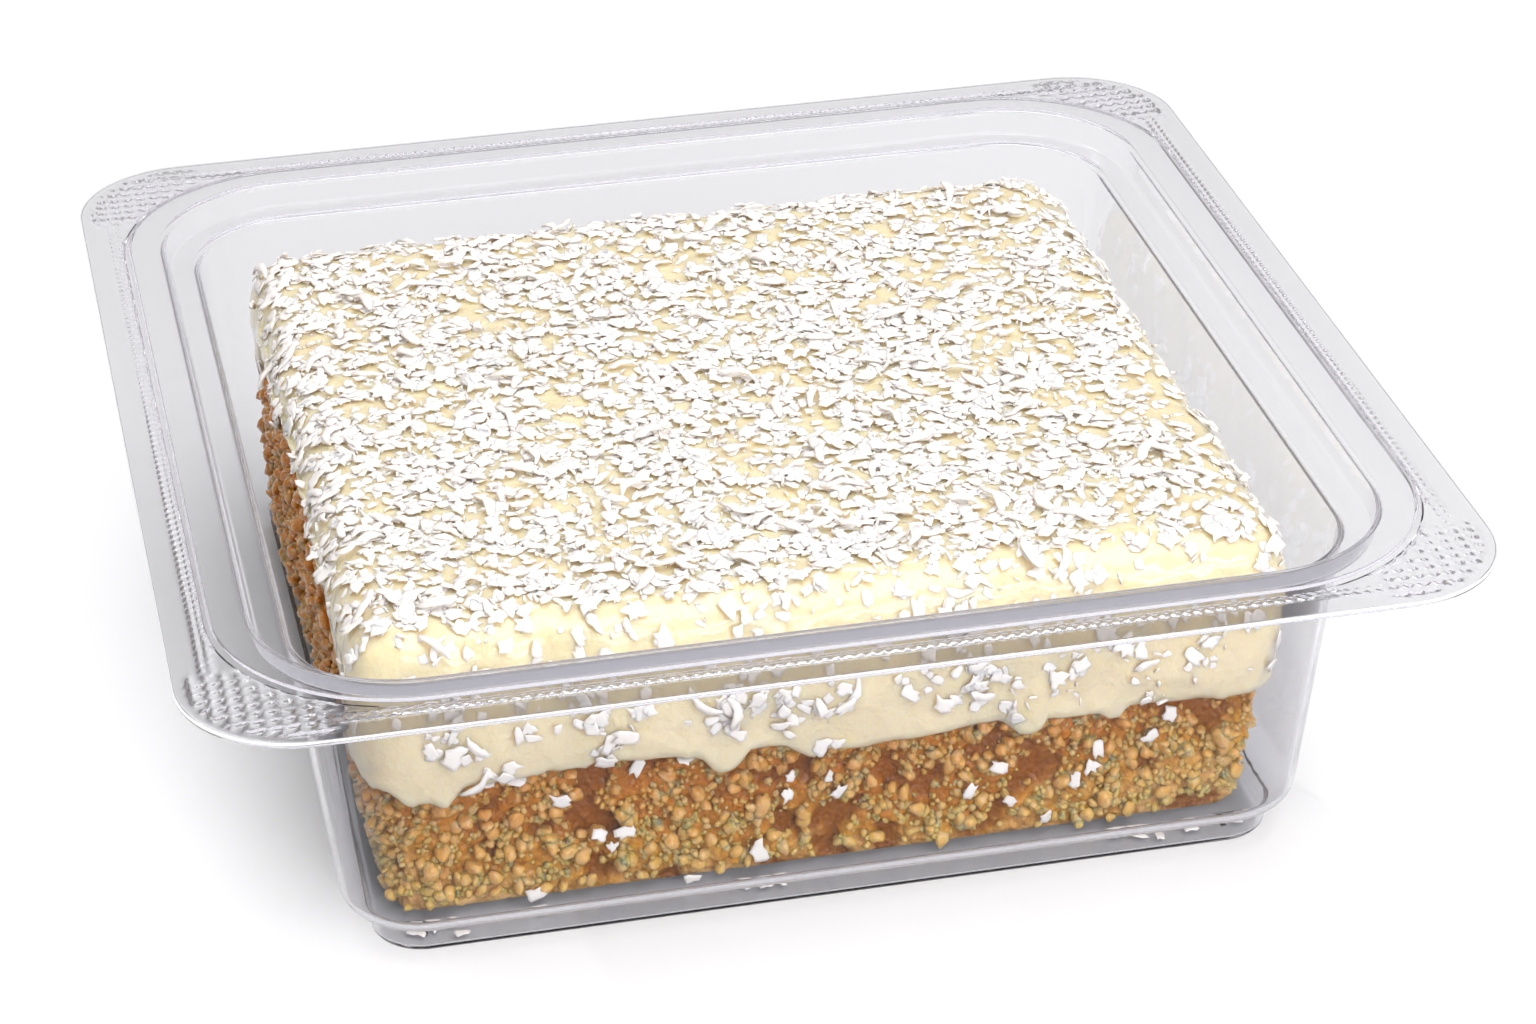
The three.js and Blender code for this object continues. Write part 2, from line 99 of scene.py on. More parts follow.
def report(piece):
    """Prints how many triangles a piece has, and its size in millimetres."""
    piece.data.calc_loop_triangles()
    points = np.array([v.co for v in piece.data.vertices]) / MM
    size = (points.max(0) - points.min(0)).round(1).tolist()
    print(f"{piece.name}: {len(piece.data.loop_triangles)} triangles, {size} mm")


# %% Skins between rings of points
def skin(first, rings, count):
    """Four-sided faces between neighbouring rings, which start at point `first`."""
    faces = []
    for ring in range(rings - 1):
        for i in range(count):
            a = first + ring * count + i
            b = first + ring * count + (i + 1) % count
            faces.append((a, b, b + count, a + count))
    return faces


def lids(under, above, last, count):
    """Fans from one point to the first ring and from another to the ring at `last`."""
    faces = []
    for i in range(count):
        j = (i + 1) % count
        faces += [(under, j, i), (above, last + i, last + j)]
    return faces


# %% Noise that is the same on every run
def bumps(points, size, seed):
    """Smooth noise from -1 to 1 at each point, with bumps about `size` across."""
    away = Vector((17.3, 5.1, 9.7)) * seed
    return np.array([noise.noise(Vector(p) / size + away) for p in points])


def lumps(points, size, seed):
    """Rounded cells about `size` across: 1 in the middle of a cell, 0 in its cracks."""
    away = Vector((3.7, 11.9, 7.3)) * seed
    nearest = [noise.voronoi(Vector(p) / size + away)[0] for p in points]
    return np.array([min(1.0, 1.6 * (second - first)) for first, second, *_ in nearest])


# %% [markdown]
# Colours are written as they look on a screen, in hex, but light adds up in linear
# values, so one function turns them. Another adds a node to a tree and sets or links its
# inputs. The finishes share a few small groups of nodes.

# %% Colours and nodes
def linear(colour):
    """An sRGB hex colour as linear red, green, blue and alpha."""
    channels = [int(colour[i:i + 2], 16) / 255 for i in (0, 2, 4)]
    straight = [c / 12.92 if c <= 0.04045 else ((c + 0.055) / 1.055) ** 2.4 for c in channels]
    return (*straight, 1.0)


def add(tree, kind, settings=None):
    """Adds a node. A setting is an input's link, a property, or an input's fixed value."""
    node = tree.nodes.new(kind)
    for name, value in (settings or {}).items():
        if isinstance(value, bpy.types.NodeSocket):
            tree.links.new(value, node.inputs[name])
        elif isinstance(name, str) and hasattr(node, name):
            setattr(node, name, value)
        else:
            node.inputs[name].default_value = value
    return node


def maths(tree, operation, *values):
    """What a sum gives, from numbers and other nodes' sockets."""
    settings = {"operation": operation, **dict(enumerate(values))}
    return add(tree, "ShaderNodeMath", settings).outputs[0]


def new_material(name):
    """A material with an empty tree, and that tree."""
    material = bpy.data.materials.new(name)
    material.use_nodes = True
    material.node_tree.nodes.clear()
    return material, material.node_tree


def show(tree, shader):
    """Makes a shader the look of its material."""
    add(tree, "ShaderNodeOutputMaterial", {"Surface": shader.outputs[0]})


# %% What most finishes are made of
def place_of(tree):
    """Where a point is on its piece, in metres."""
    return add(tree, "ShaderNodeTexCoord").outputs["Object"]


def spots(tree, size, detail):
    """Soft noise with spots about `size` millimetres across."""
    return add(tree, "ShaderNodeTexNoise", {
        "Scale": 1 / (size * MM), "Detail": detail, "Vector": place_of(tree),
    }).outputs[0]


def ramp_up(tree, value, low, high, most=1.0):
    """A number that climbs from 0 to `most` as `value` goes from `low` to `high`."""
    return add(tree, "ShaderNodeMapRange", {
        "From Min": low, "From Max": high, "To Max": most, "Value": value,
    }).outputs[0]


def blend(tree, share, *colours):
    """A colour between two, each of them a hex text or another node's socket."""
    first, second = (linear(c) if isinstance(c, str) else c for c in colours)
    mix = add(tree, "ShaderNodeMix", {"data_type": "RGBA", 0: share, 6: first, 7: second})
    return mix.outputs[2]


def relief(tree, height, distance, strength, **more):
    """The normal of a face with bumps `distance` millimetres high."""
    return add(tree, "ShaderNodeBump", {
        "Strength": strength, "Distance": distance * MM, "Height": height, **more,
    }).outputs[0]


# %% [markdown]
# ## The view and the light
#
# The photograph looks down on the front of the tray from a little to the left, through
# a long lens, so its edges run almost parallel. The camera's place was worked out from
# the four straight sides of the flange.

# %% Camera
CAMERA_AT = Vector((-101.53, -490.76, 303.35)) * MM
CAMERA_LOOKS_AT = Vector((-4.3, -39.8, 46)) * MM
CAMERA_ROLL = math.radians(-0.82)
LENS = 100.58

camera_data = bpy.data.cameras.new("camera")
camera_data.lens = LENS
camera_data.sensor_width = 36
camera = bpy.data.objects.new("camera", camera_data)
scene.collection.objects.link(camera)
camera.location = CAMERA_AT
turn = (CAMERA_AT - CAMERA_LOOKS_AT).to_track_quat("Z", "Y")
camera.rotation_mode = "QUATERNION"
camera.rotation_quaternion = turn @ Quaternion((0, 0, 1), CAMERA_ROLL)
bpy.context.scene.camera = camera
print("camera, mm:", [round(c / MM) for c in CAMERA_AT])

# %% [markdown]
# The floor is a sheet of white card. Clear plastic has no colour of its own: its lines
# are the dim parts of the room, bent towards the eye. So the room is bright overhead and
# a dim grey all round.

# %% Floor
FLOOR_HALF = 1500
FLOOR_BELOW = 0.1

floor = make_piece(
    "floor",
    [(x, y, -FLOOR_BELOW) for x, y in ((-1, -1), (1, -1), (1, 1), (-1, 1)) * np.array(FLOOR_HALF)],
    [(0, 1, 2, 3)],
)
card, tree = new_material("white studio card")
surface = add(tree, "ShaderNodeBsdfPrincipled", {
    "Base Color": linear("ececed"), "Roughness": 0.9, "Specular IOR Level": 0.1,
})
show(tree, surface)
floor.data.materials.append(card)

# %% Room
room = bpy.data.worlds.new("room")
room.use_nodes = True
tree = room.node_tree
tree.nodes.clear()
DIM_ROOM = "a5a2a4"
BRIGHT_ROOM = "ffffff"
DIM_UP_TO = 0.45
BRIGHT_FROM = 0.9
ROOM_STRENGTH = 1.05

direction = add(tree, "ShaderNodeTexCoord")
parts = add(tree, "ShaderNodeSeparateXYZ", {0: direction.outputs["Generated"]})
overhead = ramp_up(tree, parts.outputs["Z"], DIM_UP_TO, BRIGHT_FROM)
colour = blend(tree, overhead, DIM_ROOM, BRIGHT_ROOM)
glow = add(tree, "ShaderNodeBackground", {"Strength": ROOM_STRENGTH, "Color": colour})
add(tree, "ShaderNodeOutputWorld", {"Surface": glow.outputs[0]})
scene.world = room

# %% [markdown]
# Three soft lamps: a wide one high on the right and towards the viewer, which throws the
# shadow to the back left, one from the front for the cut side of the cake, and a strip
# behind, which draws the bright lines along the bends of the tray.

# %% Lamps
CAKE_HEART = Vector((0, 0, 25)) * MM


def add_lamp(name, place, size, watts):
    """A square or oblong softbox at `place`, in millimetres, that faces the cake."""
    data = bpy.data.lights.new(name, "AREA")
    data.shape = "RECTANGLE"
    data.size, data.size_y = size[0] * MM, size[1] * MM
    data.energy = watts
    lamp = bpy.data.objects.new(name, data)
    scene.collection.objects.link(lamp)
    lamp.location = Vector(place) * MM
    lamp.rotation_mode = "QUATERNION"
    lamp.rotation_quaternion = (lamp.location - CAKE_HEART).to_track_quat("Z", "Y")


add_lamp("key lamp", (110, -200, 660), (460, 460), 2.2)
add_lamp("front lamp", (180, -640, 260), (480, 260), 2.6)
add_lamp("back strip", (-120, 440, 600), (700, 120), 1.2)

FACES_CROSSED = 18
SHADOW_FACES_CROSSED = 16
scene.view_settings.view_transform = "Standard"
scene.cycles.max_bounces = FACES_CROSSED
scene.cycles.transmission_bounces = FACES_CROSSED
scene.cycles.transparent_max_bounces = SHADOW_FACES_CROSSED

# %% [markdown]
# ## The tray
#
# The real tray is one sheet of clear plastic, heated and sucked down over a mould. A
# surface with a Solidify modifier would do, but the section is so regular that it is
# simpler to write it down: a list of folds with their bend radii, offset to both sides by
# half the thickness and swept round a rounded square.

# %% The section of the sheet
SHEET = 0.7
CORNER_CENTRE = 51
FLANGE_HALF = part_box("tray")[1].x / MM
FLANGE_CORNER = 15
STEP_FOOT_HALF = 74.8
FLANGE_START = STEP_FOOT_HALF + SHEET / 2
FLANGE_Z = 46
TURN_STEP = math.radians(6)
FOLDS = [
    (CORNER_CENTRE, SHEET / 2), (57.2, SHEET / 2, 0.9), (57.9, 4.2, 0.7), (60.8, 5.4, 3.2),
    (65.3, 43.2, 0.7), (69, 43.2, 0.7), (69.8, 46.6, 0.7), (74.2, 46.6, 0.3),
    (STEP_FOOT_HALF, FLANGE_Z, 0.3), (FLANGE_HALF, FLANGE_Z),
]


def unit(vector):
    """A vector made one long."""
    return vector / np.linalg.norm(vector)


def bent_section(folds):
    """The points of a section whose folds are rounded to their bend radius."""
    section = [np.array(folds[0][:2], float)]
    for before, (x, z, bend), after in zip(folds, folds[1:-1], folds[2:]):
        at = np.array((x, z))
        back = unit(np.array(before[:2]) - at)
        on = unit(np.array(after[:2]) - at)
        half_angle = math.acos(np.clip(back @ on, -1, 1)) / 2
        middle = at + unit(back + on) * bend / math.sin(half_angle)
        start = at + back * bend / math.tan(half_angle) - middle
        sweep = math.pi - 2 * half_angle
        sweep *= math.copysign(1, back[1] * on[0] - back[0] * on[1])
        steps = max(2, round(abs(sweep) / TURN_STEP))
        for turn in np.linspace(0, sweep, steps + 1):
            c, s = math.cos(turn), math.sin(turn)
            section.append(middle + (c * start[0] - s * start[1], s * start[0] + c * start[1]))
    section.append(np.array(folds[-1][:2], float))
    return np.array(section)


middle_line = bent_section(FOLDS)


# %% Both faces of the sheet
def offset_section(section, distance):
    """The section moved sideways, to its left when it is followed outwards."""
    legs = np.diff(section, axis=0)
    legs /= np.linalg.norm(legs, axis=1)[:, None]
    before = np.vstack([legs[:1], legs])
    after = np.vstack([legs, legs[-1:]])
    along = before + after
    along /= np.linalg.norm(along, axis=1)[:, None]
    stretch = distance / (along * after).sum(1)
    return section + np.column_stack([-along[:, 1] * stretch, along[:, 0] * stretch])


inside = offset_section(middle_line, SHEET / 2)
outside = offset_section(middle_line, -SHEET / 2)

# %% Rings round the tray
CORNER_STEPS = 16
SIDE_STEPS = 40
FINER = 6
CUT_EDGE = 0.15
CORNERS = ((1, -1), (1, 1), (-1, 1), (-1, -1))


def tray_ring(half, corner, z, finer=1):
    """A square with rounded corners: an arc, then points along the straight after it."""
    arcs = []
    for k, signs in enumerate(CORNERS):
        turn = math.pi / 2 * (k - 1 + np.linspace(0, 1, CORNER_STEPS * finer + 1))
        arc = corner * np.column_stack([np.cos(turn), np.sin(turn)])
        arcs.append(np.array(signs) * (half - corner) + arc)
    share = np.arange(1, SIDE_STEPS * finer)[:, None] / (SIDE_STEPS * finer)
    ring = []
    for arc, following in zip(arcs, arcs[1:] + arcs[:1]):
        ring += [arc, arc[-1] + (following[0] - arc[-1]) * share]
    ring = np.vstack(ring)
    return np.column_stack([ring, np.full(len(ring), z)])


COARSE = 4 * (CORNER_STEPS + SIDE_STEPS)
FINE = COARSE * FINER
print("points round the tray:", COARSE, "on its walls and", FINE, "on its flange")

# %% [markdown]
# The flange is knurled, so that a lid grips it: two rows of small beads along each side
# and a lattice of fine ridges in each corner. They are relief in the sheet's upper face,
# so that face has six times as many points round the tray, and its ridges bend the
# light by themselves.

# %% Knurling
BEAD_ROWS = (3.75, 4.75)
BEAD_WIDTH = 0.3
BEAD_PITCH = 1.4
BEAD_HEIGHT = 0.34
LATTICE_PITCH = 1.9
LATTICE_HEIGHT = 0.34
LATTICE_MARGIN = 1.3
MARGIN_FADE = 0.5
LATTICE_START = 62
LATTICE_FADE = 2
RIDGE_SHARPNESS = 8
BEAD_FULLNESS = 0.7


def knurl(points):
    """Height of the knurling at each point of the flange."""
    across, along = np.abs(points[:, 0]), np.abs(points[:, 1])
    from_edge = FLANGE_HALF - np.maximum(across, along)
    run = np.where(across > along, points[:, 1], points[:, 0])
    beads = np.zeros(len(points))
    for row, place in enumerate(BEAD_ROWS):
        profile = np.exp(-((from_edge - place) / BEAD_WIDTH) ** 2)
        dashes = 0.5 + 0.5 * np.cos(2 * np.pi * (run / BEAD_PITCH + row / 2))
        beads = np.maximum(beads, profile * dashes ** BEAD_FULLNESS)
    ridge_x, ridge_y = np.cos(np.pi * points[:, :2].T / LATTICE_PITCH) ** RIDGE_SHARPNESS
    corner_reach = FLANGE_HALF - FLANGE_CORNER
    past = np.hypot(np.maximum(across - corner_reach, 0), np.maximum(along - corner_reach, 0))
    inset = np.minimum(from_edge, FLANGE_CORNER - past)
    in_corner = np.clip((np.minimum(across, along) - LATTICE_START) / LATTICE_FADE, 0, 1)
    in_margin = np.clip((inset - LATTICE_MARGIN) / MARGIN_FADE, 0, 1)
    lattice = np.maximum(ridge_x, ridge_y) * in_margin * LATTICE_HEIGHT
    return lattice * in_corner + beads * (1 - in_corner) * BEAD_HEIGHT


# %% The flange's upper face
FLANGE_ROWS = 20

flange_top = []
for share in np.linspace(0, 1, FLANGE_ROWS + 1):
    half = FLANGE_START + (FLANGE_HALF - FLANGE_START) * share
    corner = (FLANGE_START - CORNER_CENTRE) * (1 - share) + FLANGE_CORNER * share
    ring = tray_ring(half, corner, FLANGE_Z + SHEET / 2, FINER)
    if 0 < share < 1:
        ring[:, 2] += knurl(ring)
    flange_top.append(ring)


# %% Stitch coarse rings to fine ones
def stitch(coarse, fine, fine_is_outside):
    """Triangles between a coarse ring and a fine one, given by their first points."""
    faces = []
    for i in range(COARSE):
        a, b = coarse + i, coarse + (i + 1) % COARSE
        steps = [fine + (i * FINER + k) % FINE for k in range(FINER + 1)]
        for k in range(FINER):
            near = a if k * 2 < FINER else b
            faces.append((near, steps[k], steps[k + 1]))
        turn = FINER // 2 + FINER % 2
        faces.append((a, steps[turn], b))
    return faces if fine_is_outside else [face[::-1] for face in faces]


# %% Put the tray together
outer_rings = [tray_ring(half, half - CORNER_CENTRE, z) for half, z in outside[:-1]]
for inset in (CUT_EDGE, 0):
    outer_rings.append(tray_ring(FLANGE_HALF - inset, FLANGE_CORNER - inset, outside[-1][1]))
inner_rings = [tray_ring(half, half - CORNER_CENTRE, z) for half, z in inside[:-1][::-1]]
inner_rings = [ring for ring in inner_rings if ring[:, 0].max() < FLANGE_START]

points = np.vstack(outer_rings + flange_top[::-1] + inner_rings + [[(0, 0, 0), (0, 0, SHEET)]])
fine_first = len(outer_rings) * COARSE
inner_first = fine_first + len(flange_top) * FINE
last_outer = fine_first - COARSE
last_fine = inner_first - FINE
faces = skin(0, len(outer_rings), COARSE)
faces += stitch(last_outer, fine_first, True)
faces += skin(fine_first, len(flange_top), FINE)
faces += stitch(inner_first, last_fine, False)
faces += skin(inner_first, len(inner_rings), COARSE)
under, above = len(points) - 2, len(points) - 1
innermost = inner_first + (len(inner_rings) - 1) * COARSE
faces += lids(under, above, innermost, COARSE)
tray = make_piece("clear_tray", points, faces)
report(tray)

# %% [markdown]
# PET sheet is glass-clear and bends light a little more than window glass. It cools
# unevenly against its mould, so a very low ripple disturbs what is seen through it. Its
# mirror images are weak, as behind a polarising filter. A shadow ray can't follow a bent
# path, so for those rays the sheet lets light straight through, less what its faces turn
# away. Light caught between the two faces runs on until the sheet's haze scatters it, so
# a path that has met several faces ends on a dull grey and not on black.

# %% Clear PET sheet
RIPPLE_SIZE = 9
RIPPLE_HEIGHT = 0.05
FACES_MET = 4.5

clear_pet, tree = new_material("clear PET sheet, thermoformed")
rippled = relief(tree, spots(tree, RIPPLE_SIZE, 1.0), RIPPLE_HEIGHT, 1.0)
plastic = add(tree, "ShaderNodeBsdfPrincipled", {
    "Base Color": linear("e4e4e6"), "Roughness": 0.03, "IOR": 1.575, "Transmission Weight": 1.0,
    "Specular Tint": linear("6c6c70"), "Normal": rippled,
})
through = add(tree, "ShaderNodeBsdfTransparent", {"Color": linear("f4f4f4")})
haze = add(tree, "ShaderNodeBsdfDiffuse", {"Color": linear("e6e5e8")})
path = add(tree, "ShaderNodeLightPath")
caught = maths(tree, "GREATER_THAN", path.outputs["Ray Depth"], FACES_MET)
sheet = add(tree, "ShaderNodeMixShader", {0: caught, 1: plastic.outputs[0], 2: haze.outputs[0]})
either = add(tree, "ShaderNodeMixShader", {
    0: path.outputs["Is Shadow Ray"], 1: sheet.outputs[0], 2: through.outputs[0],
})
show(tree, either)
tray.data.materials.append(clear_pet)

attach(tray, "root")
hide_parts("tray")

# %% [markdown]
# ## The cake's outline
#
# The cake was cut from a slab, so its sponge and its custard share one outline, a
# rectangle with small rounded corners. Each is a stack of rings, and a ring is told how
# far out of the outline it stands and how high it lies at every point. The soft cake has
# settled against its tray, so its sides lean out as the tray's walls do, and the finished
# points are moved out for that, the same way in both layers.

# %% The outline and its rings
CRUMB_PROUD = 0.4
CAKE_CORNER = 4.6
CAKE_MIDDLE = np.array((0.3, 2.6))
CAKE_REACH = np.array((55.25, 53.0))
CAKE_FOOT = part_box("sponge")[0].z / MM
SIDES = [((0, -1), (1, 0)), ((1, 0), (0, 1)), ((0, 1), (-1, 0)), ((-1, 0), (0, -1))]
LEAN_HEIGHTS = (4, 17.5)
LEAN_RIGHT_BACK = np.array((2.5, 2.8))
LEAN_LEFT_FRONT = np.array((1.3, 0.5))


def leaned(points):
    """Points of an upright cake, moved out to where the leaning cake has them."""
    moved = np.array(points, float)
    share = np.clip((moved[:, 2] - LEAN_HEIGHTS[0]) / np.ptp(LEAN_HEIGHTS), 0, 1)[:, None]
    out = (moved[:, :2] - CAKE_MIDDLE) / CAKE_REACH
    moved[:, :2] += share * out * np.where(out > 0, LEAN_RIGHT_BACK, LEAN_LEFT_FRONT)
    return moved


def outline(cells, corner):
    """Places round the cake, the direction that faces out at each, and their share of the
    way round from the front left corner."""
    places, normals = [], []
    for side, (out, along) in enumerate(np.array(SIDES, float)):
        reach, away = CAKE_REACH[side % 2], CAKE_REACH[1 - side % 2]
        run = (2 * np.arange(cells) / cells - 1)[:, None] * reach
        flat = reach - corner
        lean = np.sign(run) * np.maximum(0, np.abs(run) - flat) / max(corner, 1e-6) * math.pi / 4
        normal = out * np.cos(lean) + along * np.sin(lean)
        base = np.clip(run, -flat, flat)
        places.append(CAKE_MIDDLE + along * base + out * (away - corner) + normal * corner)
        normals.append(normal)
    return np.vstack(places), np.vstack(normals), np.arange(4 * cells) / (4 * cells)


def cake_ring(shape, out, z):
    """A ring that stands `out` from the outline at the height `z`."""
    places, normals, _ = shape
    flat = places + normals * np.broadcast_to(out, len(places))[:, None]
    return np.column_stack([flat, np.broadcast_to(z, len(places))])


def inner_ring(cells, inset):
    """A plain rectangle `inset` inside the outline, which a level grid can fill."""
    places, normals, _ = outline(cells, 0.0)
    shrink = 1 - inset / CAKE_REACH
    return CAKE_MIDDLE + (places - CAKE_MIDDLE) * shrink


# %% [markdown]
# The seam between the two layers runs unevenly round the cake. Along the front it and the
# custard's lip follow the photograph. Places round the cake go from 0 at the front left
# corner, along the front, the right side and the back, to 1. The left side is the edge of
# the slab: the sponge rose against the baking tin there, so it stands almost as high as
# the custard's top and bulges. Elsewhere the seam wanders.

# %% The seam
SEAM_Z = 19.6
FRONT_SEAM = np.array([
    (-57, 20.8), (-44, 20.5), (-28, 21.4), (-10, 20.6), (5, 18.7), (22, 19.8), (59, 19.2),
])
LEFT_SEAM = np.array([
    (0, 19.6), (0.05, 24), (0.12, 34), (0.3, 36.5), (0.8, 36), (0.93, 33), (1, 22),
])
LEFT_BELLY = 2.6
FRONT_LIP = np.array([
    (-54.8, 20.1), (-51.8, 18.2), (-49.7, 18.4), (-47.7, 17.2), (-46.5, 18.8), (-45.1, 20.3),
    (-42.6, 20.4), (-38.6, 20.2), (-34, 20.5), (-29.9, 20.6), (-27.4, 22), (-21.5, 21.2),
    (-15.8, 19.9), (-14.7, 18), (-13.3, 17.1), (-11.2, 17.8), (-10.4, 19.4), (-9.5, 20.9),
    (-6.5, 21), (-4.8, 19.4), (-1.7, 17.8), (0.6, 19.4), (2.4, 18.7), (4.1, 19.1), (5, 20.2),
    (7.2, 19.7), (9.2, 19.5), (11.1, 20.3), (13, 21.2), (16.8, 20.9), (21.1, 20.6), (22.9, 18.8),
    (24.6, 17.2), (26.6, 17.4), (27.6, 17.8), (28.5, 19.6), (31.7, 19.3), (35, 18.9), (36.3, 17.6),
    (37.9, 17.8), (39.2, 19.8), (42.4, 19.8), (47.6, 19.3), (50.7, 18.4), (54.2, 19.8),
    (58.2, 19.2),
])
FRONT_ENDS = 0.25
BACK_MIDDLE = 0.625
FRONT_FADE = 0.05
SEAM_WAVE = 1.12
SEAM_WAVES = 60
LIP_DROP = 0.4
DRIP_DEPTH = 1.3
DRIP_WAVES = 110
LIP_WAVE = 0.5
LIP_WAVES = 330


def front_share(part):
    """1 along the front of the cake, and falling to 0 over the start of each side."""
    past = np.where(part > BACK_MIDDLE, 1 - part, np.maximum(0, part - FRONT_ENDS))
    return np.maximum(0, 1 - past / FRONT_FADE)


def front_x(part):
    """Place along X of a point on the front."""
    along = 2 * np.where(part > BACK_MIDDLE, 0, np.minimum(part, FRONT_ENDS) / FRONT_ENDS) - 1
    lean = np.where(along > 0, LEAN_RIGHT_BACK[0], LEAN_LEFT_FRONT[0])
    return CAKE_MIDDLE[0] + along * (CAKE_REACH[0] + lean)


def loop_noise(part, waves, seed):
    """Noise from -1 to 1 that closes on itself round the cake."""
    turn = 2 * np.pi * part
    circle = np.column_stack([np.cos(turn), np.sin(turn), np.zeros(len(part))])
    return bumps(circle * waves / (2 * np.pi), 1.0, seed)


def seam_height(part):
    """Height of the seam round the cake."""
    share = front_share(part)
    front = np.interp(front_x(part), *FRONT_SEAM.T)
    wave = SEAM_WAVE * (1 - share / 2) * loop_noise(part, SEAM_WAVES, 5)
    along_left = 4 * part - 3
    left = np.interp(along_left, *LEFT_SEAM.T)
    return np.where(along_left > 0, left, SEAM_Z + share * (front - SEAM_Z)) + wave


def lip_height(part, seam):
    """Height of the custard's lower edge, which hangs a little below the seam."""
    drips = DRIP_DEPTH * np.clip(0.35 + 1.3 * loop_noise(part, DRIP_WAVES, 9), 0, 1.5)
    front = np.interp(front_x(part), *FRONT_LIP.T) + LIP_WAVE * loop_noise(part, LIP_WAVES, 10)
    share = front_share(part)
    lip = share * front + (1 - share) * (seam - LIP_DROP - drips)
    return np.minimum(seam - LIP_DROP, lip)


# %% [markdown]
# ## The sponge
#
# The cut side of baked, soaked semolina is a wall of swollen grains, some fused to
# clumps, with deep wet pockets between them. Relief alone looks like plaster and loose
# grains alone like a heap of sand, so the wall is a fine mesh, pushed in and out by
# rounded cells of two sizes and by pockets, and grains are pressed into it afterwards.
# How deep each point lies is kept, so that shade can be painted into the pockets.

# %% Rows of the sponge
SPONGE_CELLS = 250
SPONGE_ROWS = 46
EDGE_IN = 1.0
FOOT_ROUNDING = 0.06
TOP_ROUNDING = 0.1
COLLAR_IN = 5

shape = outline(SPONGE_CELLS, CAKE_CORNER)
part = shape[2]
seam = seam_height(part)
rings = [np.column_stack([inner_ring(SPONGE_CELLS, COLLAR_IN), np.full(len(part), CAKE_FOOT)])]
for up in np.linspace(0, 1, SPONGE_ROWS):
    foot = EDGE_IN * max(0, 1 - up / FOOT_ROUNDING) ** 2
    top = EDGE_IN * max(0, 1 - (1 - up) / TOP_ROUNDING) ** 2
    rings.append(cake_ring(shape, -foot - top, CAKE_FOOT + (seam - CAKE_FOOT) * up))
rings.append(np.column_stack([inner_ring(SPONGE_CELLS, COLLAR_IN), np.full(len(part), SEAM_Z)]))
points = np.vstack(rings)

# %% Relief of the crumb
CLUMP_SIZE = 3.4
GRAIN_SIZE = 1.5
POCKET_SIZE = 4.6
CLUMP_SHARE = 0.5
GRAIN_SHARE = 0.32
POCKET_SHARE = 0.75
POCKET_FROM = 0.08
POCKET_FADE = 0.4
FULLEST = 0.95
DEEPEST = 1.2
CRUMB_DEPTH = 2.1
UNEVEN_SIZE = 1.2
UNEVEN_HEIGHT = 0.25
LEFT_FACE_TOP = 38

clumps = lumps(points, CLUMP_SIZE, 1)
grains = lumps(points, GRAIN_SIZE, 2)
pockets = np.clip((bumps(points, POCKET_SIZE, 3) - POCKET_FROM) / POCKET_FADE, 0, 1)
fullness = CLUMP_SHARE * clumps + GRAIN_SHARE * grains + 0.18 - POCKET_SHARE * pockets
depth = np.clip((FULLEST - fullness) / DEEPEST, 0, 1)

row = np.repeat(np.arange(len(rings)), len(part))
in_wall = (row > 1) & (row < len(rings) - 2)
normals = np.tile(shape[1], (len(rings), 1))
on_left = np.clip(4 * np.tile(part, len(rings)) - 3, 0, 1)
up_left = np.clip(points[:, 2] / LEFT_FACE_TOP, 0, 1)
belly = LEFT_BELLY * np.sin(np.pi * on_left ** 0.7) * np.sin(np.pi * up_left)
push = np.where(in_wall, CRUMB_PROUD - CRUMB_DEPTH * depth + belly, 0)
points[:, :2] += normals * push[:, None]
points[in_wall, 2] += UNEVEN_HEIGHT * bumps(points[in_wall], UNEVEN_SIZE, 4)

# %% The sponge as one closed piece
GRAINS_START = 1.2
GRAINS_NO_DEEPER = 0.75

count = len(part)
faces = skin(0, len(rings), count)
last = (len(rings) - 1) * count
points = np.vstack([points, [(*CAKE_MIDDLE, CAKE_FOOT), (*CAKE_MIDDLE, SEAM_Z)]])
points = leaned(points)
under, above = len(points) - 2, len(points) - 1
faces += lids(under, above, last, count)
sponge = make_piece("semolina_sponge", points, faces)
paint(sponge, "depth", np.append(depth, (0.5, 0.5)))
off_the_foot = points[:-2, 2] > CAKE_FOOT + GRAINS_START
bears_grains = in_wall & off_the_foot & (depth < GRAINS_NO_DEEPER)
paint(sponge, "grain_mask", np.append(bears_grains, (False, False)).astype(float))
report(sponge)

# %% [markdown]
# Syrup makes the crumb clear, so light sinks in and comes back amber: deep orange under
# the custard, gold half-way, and pale near the floor, and paler towards both ends. The
# pockets are painted dark brown as painted shade. A film of syrup gives small sharp glints.

# %% Syrup-soaked semolina
GRIT_SIZE = 0.8
GRIT_HEIGHT = 0.4
STAIN_SIZE = 9
STAIN_SHARE = 0.9
SPONGE_SPAN = (CAKE_FOOT * MM, (SEAM_Z + 1) * MM)
PALER_FROM = 36
PALEST_AT = 56

